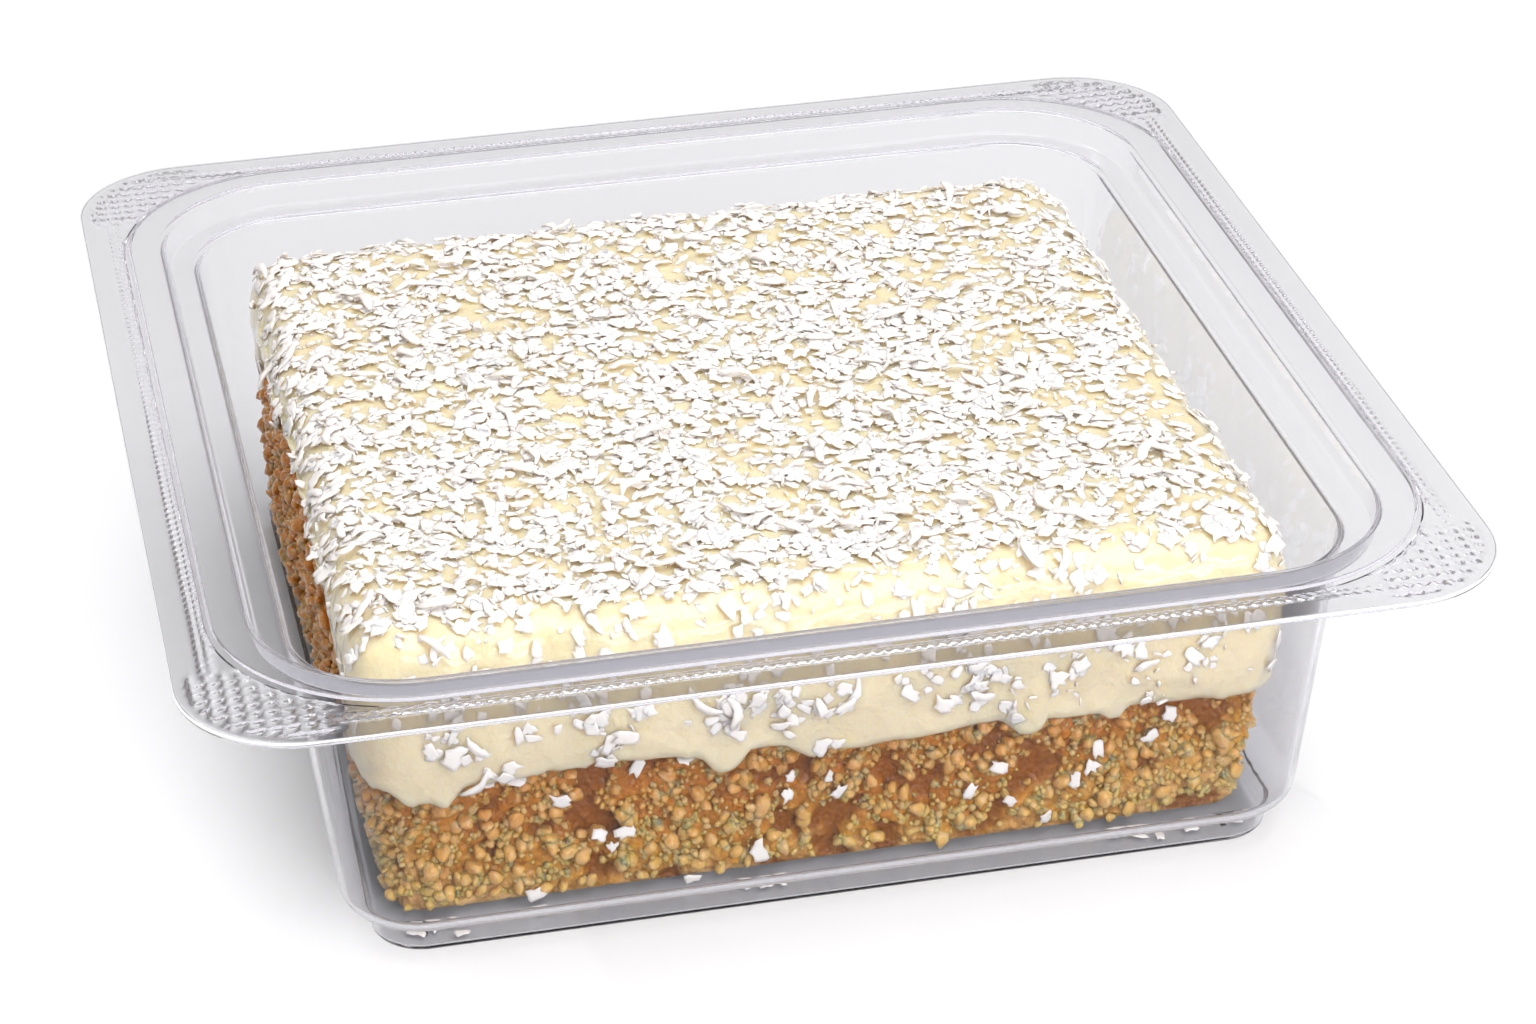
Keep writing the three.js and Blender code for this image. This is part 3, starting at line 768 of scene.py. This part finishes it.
soaked_semolina, tree = new_material("syrup-soaked semolina, baked and cut")
xyz = add(tree, "ShaderNodeSeparateXYZ", {0: place_of(tree)})
height = ramp_up(tree, xyz.outputs["Z"], *SPONGE_SPAN)
blotched = maths(tree, "MULTIPLY_ADD", spots(tree, STAIN_SIZE, 3.0), STAIN_SHARE, height)
# Towards both ends of the cake the colour is made paler.
from_middle = maths(tree, "ABSOLUTE", xyz.outputs["X"])
paler_at_ends = ramp_up(tree, from_middle, PALER_FROM * MM, PALEST_AT * MM, -0.4)
soaked = maths(tree, "ADD", blotched, paler_at_ends)
grain_colour = add(tree, "ShaderNodeValToRGB", {0: soaked})
ramp = grain_colour.color_ramp
ramp.elements[0].position, ramp.elements[0].color = 0.3, linear("e8bb7c")
ramp.elements[1].position, ramp.elements[1].color = 1.0, linear("bd7620")
middle_stop = ramp.elements.new(0.62)
middle_stop.color = linear("d09638")
# The pockets are painted dark brown, darkest where the relief is deepest: painted shade.
deep = add(tree, "ShaderNodeAttribute", {"attribute_name": "depth"})
pocket_shade_share = ramp_up(tree, deep.outputs["Fac"], 0.3, 0.9, 0.9)
crumb_and_pocket_shade = blend(tree, pocket_shade_share, grain_colour.outputs[0], "8c4c06")
grit = add(tree, "ShaderNodeTexVoronoi", {"Scale": 1 / (GRIT_SIZE * MM), "Vector": place_of(tree)})
gritty = relief(tree, grit.outputs["Distance"], GRIT_HEIGHT, 0.8, invert=True)
crumb = add(tree, "ShaderNodeBsdfPrincipled", {
    "Roughness": 0.22, "IOR": 1.4, "Subsurface Weight": 0.5, "Subsurface Scale": 1.0 * MM,
    "Subsurface Radius": (1.0, 0.6, 0.22), "Specular IOR Level": 0.3, "Base Color": crumb_and_pocket_shade,
    "Normal": gritty,
})
show(tree, crumb)
sponge.data.materials.append(soaked_semolina)

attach(sponge, "root")
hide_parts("sponge")

# %% [markdown]
# ## The custard
#
# Custard is poured on warm and sets to a soft, glossy layer with rounded edges. It bulges
# past the sponge, and its lower lip hangs over the crumb in small drips. Each column of
# its side is a smooth curve through a few points, from the hidden underside, round the
# lip, up the belly and over the edge to the top.

# %% Curves through rings
def smooth_rings(controls, steps):
    """Rings on a smooth curve through the control rings, with `steps` to each stretch."""
    padded = [controls[0], *controls, controls[-1]]
    rings = []
    for k, count in enumerate(steps):
        a, b, c, d = padded[k:k + 4]
        for t in np.arange(count) / count:
            rings.append(
                b + 0.5 * t * (c - a + t * (2 * a - 5 * b + 4 * c - d + t * (3 * (b - c) + d - a)))
            )
    rings.append(controls[-1])
    return rings


# %% The custard's side
TOP_Z = 41.3
GAP = 0.3
BULGE = 1.9
CUSTARD_CELLS = 170
BULGE_WAVES = 36
EDGE_WAVES = 48
TOP_SWELL = 0.5
TOP_SWELL_SIZE = 22
TOP_BUMP = 0.35
TOP_BUMP_SIZE = 4.5


def top_height(places):
    """Height of the custard's top at places in plan."""
    flat = np.column_stack([places[:, :2], np.zeros(len(places))])
    swell = TOP_SWELL * bumps(flat, TOP_SWELL_SIZE, 2)
    return TOP_Z + swell + TOP_BUMP * bumps(flat, TOP_BUMP_SIZE, 7)


shape = outline(CUSTARD_CELLS, CAKE_CORNER)
part = shape[2]
seam = seam_height(part)
tip = lip_height(part, seam)
bulge = BULGE * (1 + 0.35 * loop_noise(part, BULGE_WAVES, 12))
lip = bulge * 0.85
edge_top = TOP_Z - 0.5 + 0.5 * loop_noise(part, EDGE_WAVES, 21)
level = inner_ring(CUSTARD_CELLS, COLLAR_IN)


def climb(share):
    """A height on the custard's side, as a share of the way from its lip to its edge."""
    return (tip + 1.1) * (1 - share) + (edge_top - 3.4) * share


controls = [
    np.column_stack([level, np.full(len(part), SEAM_Z + GAP)]),
    cake_ring(shape, -0.9, seam + GAP),
    cake_ring(shape, 0.4, seam - 0.1),
    cake_ring(shape, 0.55, tip + 0.5),
    cake_ring(shape, lip * 0.75, tip),
    cake_ring(shape, lip + 0.3, tip + 1.1),
    cake_ring(shape, bulge + 0.1, climb(0.11)),
    cake_ring(shape, bulge * 1.05, climb(0.45)),
    cake_ring(shape, bulge, climb(0.78)),
    cake_ring(shape, bulge - 0.5, climb(1)),
    cake_ring(shape, bulge - 1.8, edge_top - 1.2),
    cake_ring(shape, bulge - 4.2, edge_top + 0.2),
    np.column_stack([level, top_height(level)]),
]
rings = smooth_rings(controls, [2, 2, 2, 3, 3, 4, 5, 7, 6, 5, 5, 4])

# %% The custard's top
SIDE_LUMP_SIZE = 7
SIDE_LUMP = 0.75
SIDE_DIMPLE_SIZE = 2.4
SIDE_DIMPLE = 0.3

count = len(part)
points = np.vstack(rings)
row = np.repeat(np.arange(len(rings)), count) / (len(rings) - 1)
on_side = np.clip((row - 0.1) / 0.1, 0, 1) * np.clip((1 - row) / 0.15, 0, 1)
swell = SIDE_LUMP * bumps(points, SIDE_LUMP_SIZE, 31)
swell += SIDE_DIMPLE * bumps(points, SIDE_DIMPLE_SIZE, 32)
points[:, :2] += np.tile(shape[1], (len(rings), 1)) * (swell * on_side)[:, None]

n = CUSTARD_CELLS
last = (len(rings) - 1) * count
low, high = level[0], level[2 * n]
steps = np.arange(1, n) / n
grid_x, grid_y = np.meshgrid(*(low[k] + (high[k] - low[k]) * steps for k in (0, 1)))
grid = np.column_stack([grid_x.ravel(), grid_y.ravel()])
index = np.zeros((n + 1, n + 1), int)
index[1:n, 1:n] = len(points) + np.arange((n - 1) ** 2).reshape(n - 1, n - 1)
index[0, :] = last + np.arange(n + 1)
index[:, n] = last + n + np.arange(n + 1)
index[n, ::-1] = last + 2 * n + np.arange(n + 1)
index[:0:-1, 0] = last + 3 * n + np.arange(n)
top = np.column_stack([grid, top_height(grid)])
points = np.vstack([points, top, [(*CAKE_MIDDLE, SEAM_Z + GAP)]])
points = leaned(points)
faces = skin(0, len(rings), count)
for j in range(n):
    for i in range(n):
        faces.append((index[j, i], index[j, i + 1], index[j + 1, i + 1], index[j + 1, i]))
under = len(points) - 1
faces += [(under, (i + 1) % count, i) for i in range(count)]
custard = make_piece("set_custard", points, faces)
report(custard)

# %% [markdown]
# Custard is milk, egg and starch: light enters it, scatters warm and comes out again, so
# its thin edges glow and its shadows stay creamy. It is a little yellower towards its
# top. Under the coconut it is painted tan, as painted shade in the gaps between the
# flakes. Its skin is moist.

# %% Set custard
CURD_SIZE = 1.3
CURD_HEIGHT = 0.4
CLOUD_SIZE = 9
CLOUD_SHARE = 0.9
CREAM_RISE = 16
CREAM_START = -1.9

set_custard, tree = new_material("set custard, poured and chilled")
xyz = add(tree, "ShaderNodeSeparateXYZ", {0: place_of(tree)})
rising = maths(tree, "MULTIPLY_ADD", xyz.outputs["Z"], 1 / (CREAM_RISE * MM), CREAM_START)
yolky = maths(tree, "MULTIPLY_ADD", spots(tree, CLOUD_SIZE, 2.0), CLOUD_SHARE, rising)
cream = blend(tree, yolky, "e2d4b4", "e4d8b2")
# Where the coconut lies the custard is painted tan: painted shade in the gaps between the flakes.
strewn = add(tree, "ShaderNodeAttribute", {"attribute_name": "coconut"})
tan_painted_shade = blend(tree, ramp_up(tree, strewn.outputs["Fac"], 0, 0.8), cream, "ead8ae")
skinned = relief(tree, spots(tree, CURD_SIZE, 2.0), CURD_HEIGHT, 0.7)
custard_body = add(tree, "ShaderNodeBsdfPrincipled", {
    "Roughness": 0.3, "IOR": 1.4, "Subsurface Weight": 0.9, "Subsurface Scale": 3.0 * MM,
    "Subsurface Radius": (1.0, 0.75, 0.45), "Coat Weight": 1.0, "Coat Roughness": 0.04,
    "Base Color": tan_painted_shade, "Normal": skinned,
})
show(tree, custard_body)
custard.data.materials.append(set_custard)

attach(custard, "root")
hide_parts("custard")

# %% [markdown]
# ## Strewing
#
# The coconut and the grains are thousands of small things on a surface. A loop could strew
# them, but a Geometry Nodes tree says it best: scatter points where a painted mask allows,
# put one of a few shapes on each, turn, scale and lift it at random, and make the result
# real mesh. One tree serves every kind.

# %% The strewing tree
strewing = bpy.data.node_groups.new("strewing", "GeometryNodeTree")
SOCKETS = {
    "Surface": "Geometry", "Shapes": "Collection", "Mask": "String", "Per Square Metre": "Float",
    "Smallest": "Float", "Largest": "Float", "Tilt": "Float", "Sink": "Float", "Lift": "Float",
    "Seed": "Int", "Finish": "Material",
}
sockets = {
    name: strewing.interface.new_socket(name, in_out="INPUT", socket_type="NodeSocket" + kind)
    for name, kind in SOCKETS.items()
}
strewing.interface.new_socket("Strewn", in_out="OUTPUT", socket_type="NodeSocketGeometry")

given = add(strewing, "NodeGroupInput").outputs


def drawn(kind, first, low, high):
    """A random value for each point. Its limits are the inputs from `first` on."""
    settings = {"data_type": kind, first: low, first + 1: high, "Seed": given["Seed"]}
    return add(strewing, "FunctionNodeRandomValue", settings).outputs[first // 2]


mask = add(strewing, "GeometryNodeInputNamedAttribute", {"data_type": "FLOAT", "Name": given["Mask"]})
density = maths(strewing, "MULTIPLY", mask.outputs[0], given["Per Square Metre"])
scattered = add(strewing, "GeometryNodeDistributePointsOnFaces", {
    "distribute_method": "RANDOM", "Mesh": given["Surface"], "Density": density,
    "Seed": given["Seed"],
})
tilt_back = maths(strewing, "MULTIPLY", given["Tilt"], -1.0)
turn_low = add(strewing, "ShaderNodeCombineXYZ", {"X": tilt_back, "Y": tilt_back})
turn_high = add(strewing, "ShaderNodeCombineXYZ", {
    "Z": 2 * math.pi, "X": given["Tilt"], "Y": given["Tilt"],
})
turn = drawn("FLOAT_VECTOR", 0, turn_low.outputs[0], turn_high.outputs[0])
as_turn = add(strewing, "FunctionNodeEulerToRotation", {0: turn})
turned = add(strewing, "FunctionNodeRotateRotation", {
    "rotation_space": "LOCAL", 0: scattered.outputs["Rotation"], 1: as_turn.outputs[0],
})
size = drawn("FLOAT", 2, given["Smallest"], given["Largest"])
ANY_SHAPE = 99
which = drawn("INT", 4, 0, ANY_SHAPE)
library = add(strewing, "GeometryNodeCollectionInfo", {
    "Separate Children": True, "Reset Children": True, 0: given["Shapes"],
})
placed = add(strewing, "GeometryNodeInstanceOnPoints", {
    "Pick Instance": True, "Points": scattered.outputs[0], "Instance": library.outputs[0],
    "Instance Index": which, "Rotation": turned.outputs[0], "Scale": size,
})
rise = drawn("FLOAT", 2, given["Sink"], given["Lift"])
upwards = add(strewing, "ShaderNodeCombineXYZ", {"Z": rise})
lifted = add(strewing, "GeometryNodeTranslateInstances", {
    "Local Space": True, "Instances": placed.outputs[0], "Translation": upwards.outputs[0],
})
real = add(strewing, "GeometryNodeRealizeInstances", {0: lifted.outputs[0]})
finished = add(strewing, "GeometryNodeSetMaterial", {0: real.outputs[0], "Material": given["Finish"]})
add(strewing, "NodeGroupOutput", {0: finished.outputs[0]})


# %% Strew shapes over a piece
def strew(name, surface, mask, finish, slot, shapes, crowding, sizes, tilt, heights, seed):
    """A new piece: shapes strewn over a surface as one plain mesh, `crowding` to a square
    millimetre where the mask is 1, at heights in millimetres."""
    piece = bpy.data.objects.new(name, surface.data.copy())
    scene.collection.objects.link(piece)
    modifier = piece.modifiers.new("strewing", "NODES")
    modifier.node_group = strewing
    amounts = {
        "Shapes": shapes, "Mask": mask, "Per Square Metre": crowding * 1e6, "Tilt": tilt,
        "Smallest": sizes[0], "Largest": sizes[1], "Seed": seed, "Finish": finish,
        "Sink": heights[0] * MM, "Lift": heights[1] * MM,
    }
    for socket, value in amounts.items():
        modifier[sockets[socket].identifier] = value
    bpy.context.view_layer.update()
    evaluated = piece.evaluated_get(bpy.context.evaluated_depsgraph_get())
    plain = bpy.data.meshes.new_from_object(evaluated)
    piece.modifiers.remove(modifier)
    piece.data = plain
    plain.name = name
    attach(piece, "root")
    report(piece)


def shape_collection(name, meshes):
    """A collection, outside the scene, of the shapes that are strewn."""
    collection = bpy.data.collections.new(name)
    for k, (points, faces) in enumerate(meshes):
        mesh = bpy.data.meshes.new(f"{name}_{k}")
        mesh.from_pydata((np.asarray(points) * MM).tolist(), [], faces)
        mesh.shade_smooth()
        collection.objects.link(bpy.data.objects.new(f"{name}_{k}", mesh))
    return collection


# %% [markdown]
# ## Shredded coconut
#
# Dried coconut is cut into thin flakes and shreds, paper-white, a little translucent,
# ragged along their edges, and so soft from the custard's damp that most lie flat. A
# flake is an irregular blob, thin at its edge and a little domed. A shred is a strip with
# a drawn width, bend, arch and twist. Ten of a kind are enough to hide the repeats.

# %% One flake of coconut
def coconut_flake(draw, length, width, around):
    """Points and faces of one closed flake, lying flat with its length along X."""
    turn = 2 * np.pi * (np.arange(around) + draw.uniform(-0.35, 0.35, around)) / around
    ragged = draw.uniform(0.5, 1.25, around)
    edge = np.column_stack([length / 2 * np.cos(turn), width / 2 * np.sin(turn)]) * ragged[:, None]
    edge[:, 1] += draw.uniform(-0.18, 0.18) * width * (2 * edge[:, 0] / length) ** 2
    curl = draw.uniform(-0.02, 0.05) * length
    lift = curl * (1 - (2 * edge[:, 0] / length) ** 2) + draw.uniform(-0.05, 0.05, around)
    upper_edge = np.column_stack([edge, lift + 0.05])
    lower_edge = np.column_stack([edge, lift - 0.05])
    inner_lift = 0.6 * lift + 0.4 * curl + draw.uniform(0.07, 0.12, around)
    inner = np.column_stack([edge * 0.62, inner_lift])
    points = np.vstack([inner, upper_edge, lower_edge, [(0, 0, curl + 0.11), (0, 0, curl - 0.08)]])
    above, below = 3 * around, 3 * around + 1
    faces = []
    for i in range(around):
        j = (i + 1) % around
        faces.append((above, i, j))
        faces.append((i, around + i, around + j, j))
        faces.append((around + i, 2 * around + i, 2 * around + j, around + j))
        faces.append((below, 2 * around + j, 2 * around + i))
    return points, faces


# %% One strip of coconut
def coconut_strip(draw, length, width, stations, thickness):
    """Points and faces of one closed strip, lying along X."""
    along = np.linspace(-0.5, 0.5, stations)
    bow = 1 - 4 * along ** 2
    bend = draw.uniform(-0.2, 0.2) * length
    arch = draw.uniform(0.0, 0.1) * length
    twist = draw.uniform(-0.5, 0.5)
    widths = width / 2 * (0.45 + 0.55 * bow ** 0.5) * draw.uniform(0.7, 1.3, stations)
    middle = np.column_stack([
        along * length * (1 - 0.1 * abs(twist)),
        bend * bow + draw.uniform(-0.15, 0.15, stations) * width,
        arch * bow + draw.uniform(-0.05, 0.05, stations) * length,
    ])
    lean = twist * along * 2 + draw.uniform(-0.2, 0.2, stations)
    aside = np.column_stack([draw.uniform(-0.25, 0.25, stations), np.cos(lean), np.sin(lean)])
    up = np.column_stack([np.zeros(stations), -np.sin(lean), np.cos(lean)]) * thickness / 2
    reach = aside * widths[:, None]
    upper = reach * 0.85
    corners = [middle - reach - up, middle + reach - up, middle + upper + up, middle - upper + up]
    points = np.stack(corners, axis=1).reshape(-1, 3)
    faces = [(3, 2, 1, 0)]
    for k in range(stations - 1):
        for side in range(4):
            a, b = 4 * k + side, 4 * k + (side + 1) % 4
            faces.append((a, b, b + 4, a + 4))
    end = 4 * (stations - 1)
    faces.append((end, end + 1, end + 2, end + 3))
    return points, faces


# %% Flakes, bits, shreds and dust
draw = np.random.default_rng(11)
flake_forms = [
    coconut_flake(draw, draw.uniform(2.5, 3.9), draw.uniform(1.6, 2.5), 11) for _ in range(10)
]
flakes = shape_collection("flake", flake_forms)
bits = shape_collection("bit", [
    coconut_flake(draw, draw.uniform(1.6, 2.6), draw.uniform(1.1, 1.7), 8) for _ in range(10)
])
shreds = shape_collection("shred", [
    coconut_strip(draw, draw.uniform(3.2, 5.4), draw.uniform(0.9, 1.4), 6, 0.3) for _ in range(10)
])
dust = shape_collection("dust", [
    coconut_strip(draw, draw.uniform(0.7, 1.3), draw.uniform(0.5, 0.8), 2, 0.4) for _ in range(6)
])

# %% Shredded coconut
FIBRE_SIZE = 0.9
FIBRE_HEIGHT = 0.1

shredded_coconut, tree = new_material("shredded coconut, dried")
fibre = spots(tree, FIBRE_SIZE, 2.0)
white = blend(tree, fibre, "e9e2dc", "f4f0ed")
grainy = relief(tree, fibre, FIBRE_HEIGHT, 0.3)
flesh = add(tree, "ShaderNodeBsdfPrincipled", {
    "Roughness": 0.5, "IOR": 1.4, "Subsurface Weight": 0.6, "Subsurface Scale": 0.25 * MM,
    "Subsurface Radius": (1.0, 0.9, 0.75), "Base Color": white, "Normal": grainy,
})
show(tree, flesh)

# %% [markdown]
# Where the coconut lies is painted on the custard as a mask: thick over the top, thin on
# the rounded front edge, where it has slid off, and in clusters where handfuls stick to
# the sides.

# %% The mask for coconut
FRONT_CLUSTERS = [
    (-46, 26.5, 2.6, 1), (-42, 22.5, 1.6, 0.5), (-37, 28, 1.5, 0.7), (-29, 27.5, 2.4, 1),
    (-28, 24.6, 1.8, 0.8), (-23.5, 27.5, 1.4, 0.7), (-13, 27.5, 2.3, 1), (-9, 27.5, 1.8, 0.9),
    (-5, 26.5, 2.6, 1), (0, 25.5, 2.4, 1), (2, 20, 2, 0.9), (0, 16.5, 2, 0.8),
    (19, 25.8, 3.2, 1), (30, 24.8, 2.4, 0.9), (24.5, 20.5, 2.4, 1), (40, 26.3, 2.4, 0.8),
    (48, 27.5, 3, 0.9), (43, 21.5, 1.6, 0.6), (-46, 32, 3, 0.7), (-30, 33, 4, 0.7),
    (-8, 33, 5, 0.8), (14, 33, 5, 0.7), (34, 33, 5, 0.7), (52, 33, 4, 0.7),
]
SPARSE_ON_SIDES = 0.03
FRONT_THINS_OVER = 7
RIGHT_THINS_OVER = 10

points = np.array([v.co for v in custard.data.vertices]) / MM
normals = np.array([v.normal for v in custard.data.vertices])
upward = np.clip((normals[:, 2] - 0.25) / 0.5, 0, 1)
from_front = points[:, 1] - (CAKE_MIDDLE[1] - CAKE_REACH[1] - BULGE)
from_right = CAKE_MIDDLE[0] + CAKE_REACH[0] + BULGE - points[:, 0]
thin_front = np.clip((from_front + 1) / FRONT_THINS_OVER, 0.32, 1)
thin_right = np.clip((from_right + 3) / RIGHT_THINS_OVER, 0.4, 1)
patchy = np.clip(0.95 + 0.5 * bumps(points, 13, 41) + 0.35 * bumps(points, 5, 42), 0.4, 1.3)
on_top = upward * thin_front * thin_right * patchy
at_front = (normals[:, 1] < -0.3) & (upward < 0.5)
clustered = np.zeros(len(points))
for x, z, radius, amount in FRONT_CLUSTERS:
    near = np.exp(-(((points[:, 0] - x) ** 2 + (points[:, 2] - z) ** 2) / radius ** 2))
    clustered = np.maximum(clustered, amount * near)
elsewhere = np.clip(2.2 * bumps(points, 8, 43) - 0.4, 0, 1) * 0.7
on_sides = np.where(at_front, clustered, elsewhere) + SPARSE_ON_SIDES
above_lip = points[:, 2] > SEAM_Z + 0.5
coconut_mask = np.where(above_lip, np.maximum(on_top, on_sides * (1 - upward)), 0)
# The custard's finish reads this mask too, to paint the shade under the coconut tan.
paint(custard, "coconut", coconut_mask)

# %% Strew the coconut
COCONUT = (custard, "coconut", shredded_coconut, "custard_and_coconut")
strew("coconut_flakes", *COCONUT, flakes, 0.2, (0.7, 1.15), 0.14, (-0.1, 0.6), seed=3)
strew("coconut_bits", *COCONUT, bits, 0.305, (0.7, 1.2), 0.18, (-0.1, 0.6), seed=21)
strew("coconut_shreds", *COCONUT, shreds, 0.035, (0.7, 1.1), 0.2, (-0.1, 1.0), seed=5)
strew("coconut_dust", *COCONUT, dust, 0.25, (0.5, 1.2), 0.5, (-0.1, 0.6), seed=8)

# %% [markdown]
# A few flakes have fallen on the cut side of the sponge and on the floor of the tray. They
# are the ones that the eye finds first, so each is laid one by one where it is seen.

# %% Lay single flakes
LOOSE_ON_SPONGE = [
    (-28.7, 10), (-27.2, 8), (-25.4, 10.2), (-8.7, 4.3), (-4.9, 12.2), (-4.5, 15), (-17.3, 1.8),
    (-37.2, 2.6), (-23.8, 19.4), (18.7, 9.2), (23.9, 6.9), (34.4, 10.6), (32.4, 8.6), (42.2, 13.9),
    (-33.5, 15.7), (28.6, 3.9), (0.4, 14.2), (1.6, 11.8), (35.2, 13.2), (22.4, 12.4), (44.5, 16.8),
]
LOOSE_ON_FLOOR = [
    (-8.3, -53.8), (-6.4, -53.4), (-10.8, -53.4), (-52.4, -53.7), (-50.2, -53.2), (-47.8, -52.8),
    (-47.1, -55.4), (37.5, -52.9), (40, -53.7), (42.6, -54.9), (47.2, -54), (53.6, -53.9),
    (55.2, -52.8), (-36.8, -53.1), (-56, 31), (-56.4, 12),
]
SPONGE_FRONT = -51.5
FLOOR_OF_TRAY = SHEET + 0.35
draw = np.random.default_rng(31)


def lay(name, places, facing, spread):
    """A new piece: one flake at each place, turned at random round the way it faces."""
    points, faces = [], []
    for k, place in enumerate(places):
        form_points, form_faces = flake_forms[k % len(flake_forms)]
        turn = Vector(facing).to_track_quat("Z", "Y")
        turn = turn @ Quaternion((0, 0, 1), draw.uniform(0, 2 * math.pi))
        turn = turn @ Quaternion((1, 0, 0), draw.uniform(-spread, spread))
        size = draw.uniform(0.6, 1.0)
        faces += [tuple(len(points) + i for i in face) for face in form_faces]
        points += [turn @ (Vector(p) * size) + Vector(place) for p in form_points]
    piece = make_piece(name, points, faces)
    piece.data.materials.append(shredded_coconut)
    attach(piece, "root")
    report(piece)


on_sponge = [(x, SPONGE_FRONT, z) for x, z in LOOSE_ON_SPONGE]
on_floor = [(x, y, FLOOR_OF_TRAY) for x, y in LOOSE_ON_FLOOR]
lay("coconut_on_sponge", on_sponge, (0, -1, 0.1), 0.3)
lay("coconut_on_floor", on_floor, (0, 0, 1), 0.15)

# %% [markdown]
# ## Semolina grains
#
# The swollen grains on the cut sides are the size of coarse sugar, wet and half clear:
# small rounded lumps, pressed into the relief wherever it isn't a pocket and is clear of
# the floor.

# %% One grain
def grain_shape(draw, level, uneven, flatten):
    """Points and faces of one lump about 1 mm across."""
    ball = bmesh.new()
    bmesh.ops.create_icosphere(ball, subdivisions=level, radius=0.5)
    ball.verts.index_update()
    points = np.array([v.co for v in ball.verts])
    faces = [tuple(v.index for v in face.verts) for face in ball.faces]
    ball.free()
    seed = int(draw.integers(1000))
    points *= (1 + uneven * bumps(points, 0.45, seed))[:, None]
    points *= np.array((1.1, draw.uniform(0.6, 1), flatten))
    return points, faces


draw = np.random.default_rng(23)
round_grains = shape_collection("round_grain", [grain_shape(draw, 2, 0.5, 0.7) for _ in range(7)])
small_grains = shape_collection("small_grain", [grain_shape(draw, 1, 0.5, 0.8) for _ in range(7)])

# %% Swollen grains
WASHED_SIZE = 1.6
FACET_SIZE = 0.4
FACET_HEIGHT = 0.3

swollen_grain, tree = new_material("swollen semolina grain, wet with syrup")
xyz = add(tree, "ShaderNodeSeparateXYZ", {0: place_of(tree)})
amber = blend(tree, ramp_up(tree, xyz.outputs["Z"], *SPONGE_SPAN), "ecbe6a", "d08a2a")
washed = ramp_up(tree, spots(tree, WASHED_SIZE, 1.0), 0.45, 0.7, 0.6)
gold = blend(tree, washed, amber, "e8be8a")
faceted = relief(tree, spots(tree, FACET_SIZE, 1.0), FACET_HEIGHT, 0.6)
grain_body = add(tree, "ShaderNodeBsdfPrincipled", {
    "Roughness": 0.15, "IOR": 1.4, "Subsurface Weight": 0.9, "Subsurface Scale": 1.4 * MM,
    "Subsurface Radius": (1.0, 0.64, 0.28), "Transmission Weight": 0.1, "Coat Weight": 0.8,
    "Coat Roughness": 0.03, "Base Color": gold, "Normal": faceted,
})
show(tree, grain_body)

# %% Press the grains into the sponge
GRAINS = (sponge, "grain_mask", swollen_grain, "semolina_sponge")
strew("round_grains", *GRAINS, round_grains, 0.24, (1.1, 2.7), 3.0, (-0.6, -0.25), seed=13)
strew("small_grains", *GRAINS, small_grains, 0.8, (0.6, 1.5), 3.0, (-0.6, 0.1), seed=17)

# %% [markdown]
# ## The end
#
# The shapes that were strewn are no pieces of the cake, so they go.

# %% Clear up
for collection in (flakes, bits, shreds, dust, round_grains, small_grains):
    for shape_object in list(collection.objects):
        bpy.data.objects.remove(shape_object)
    bpy.data.collections.remove(collection)
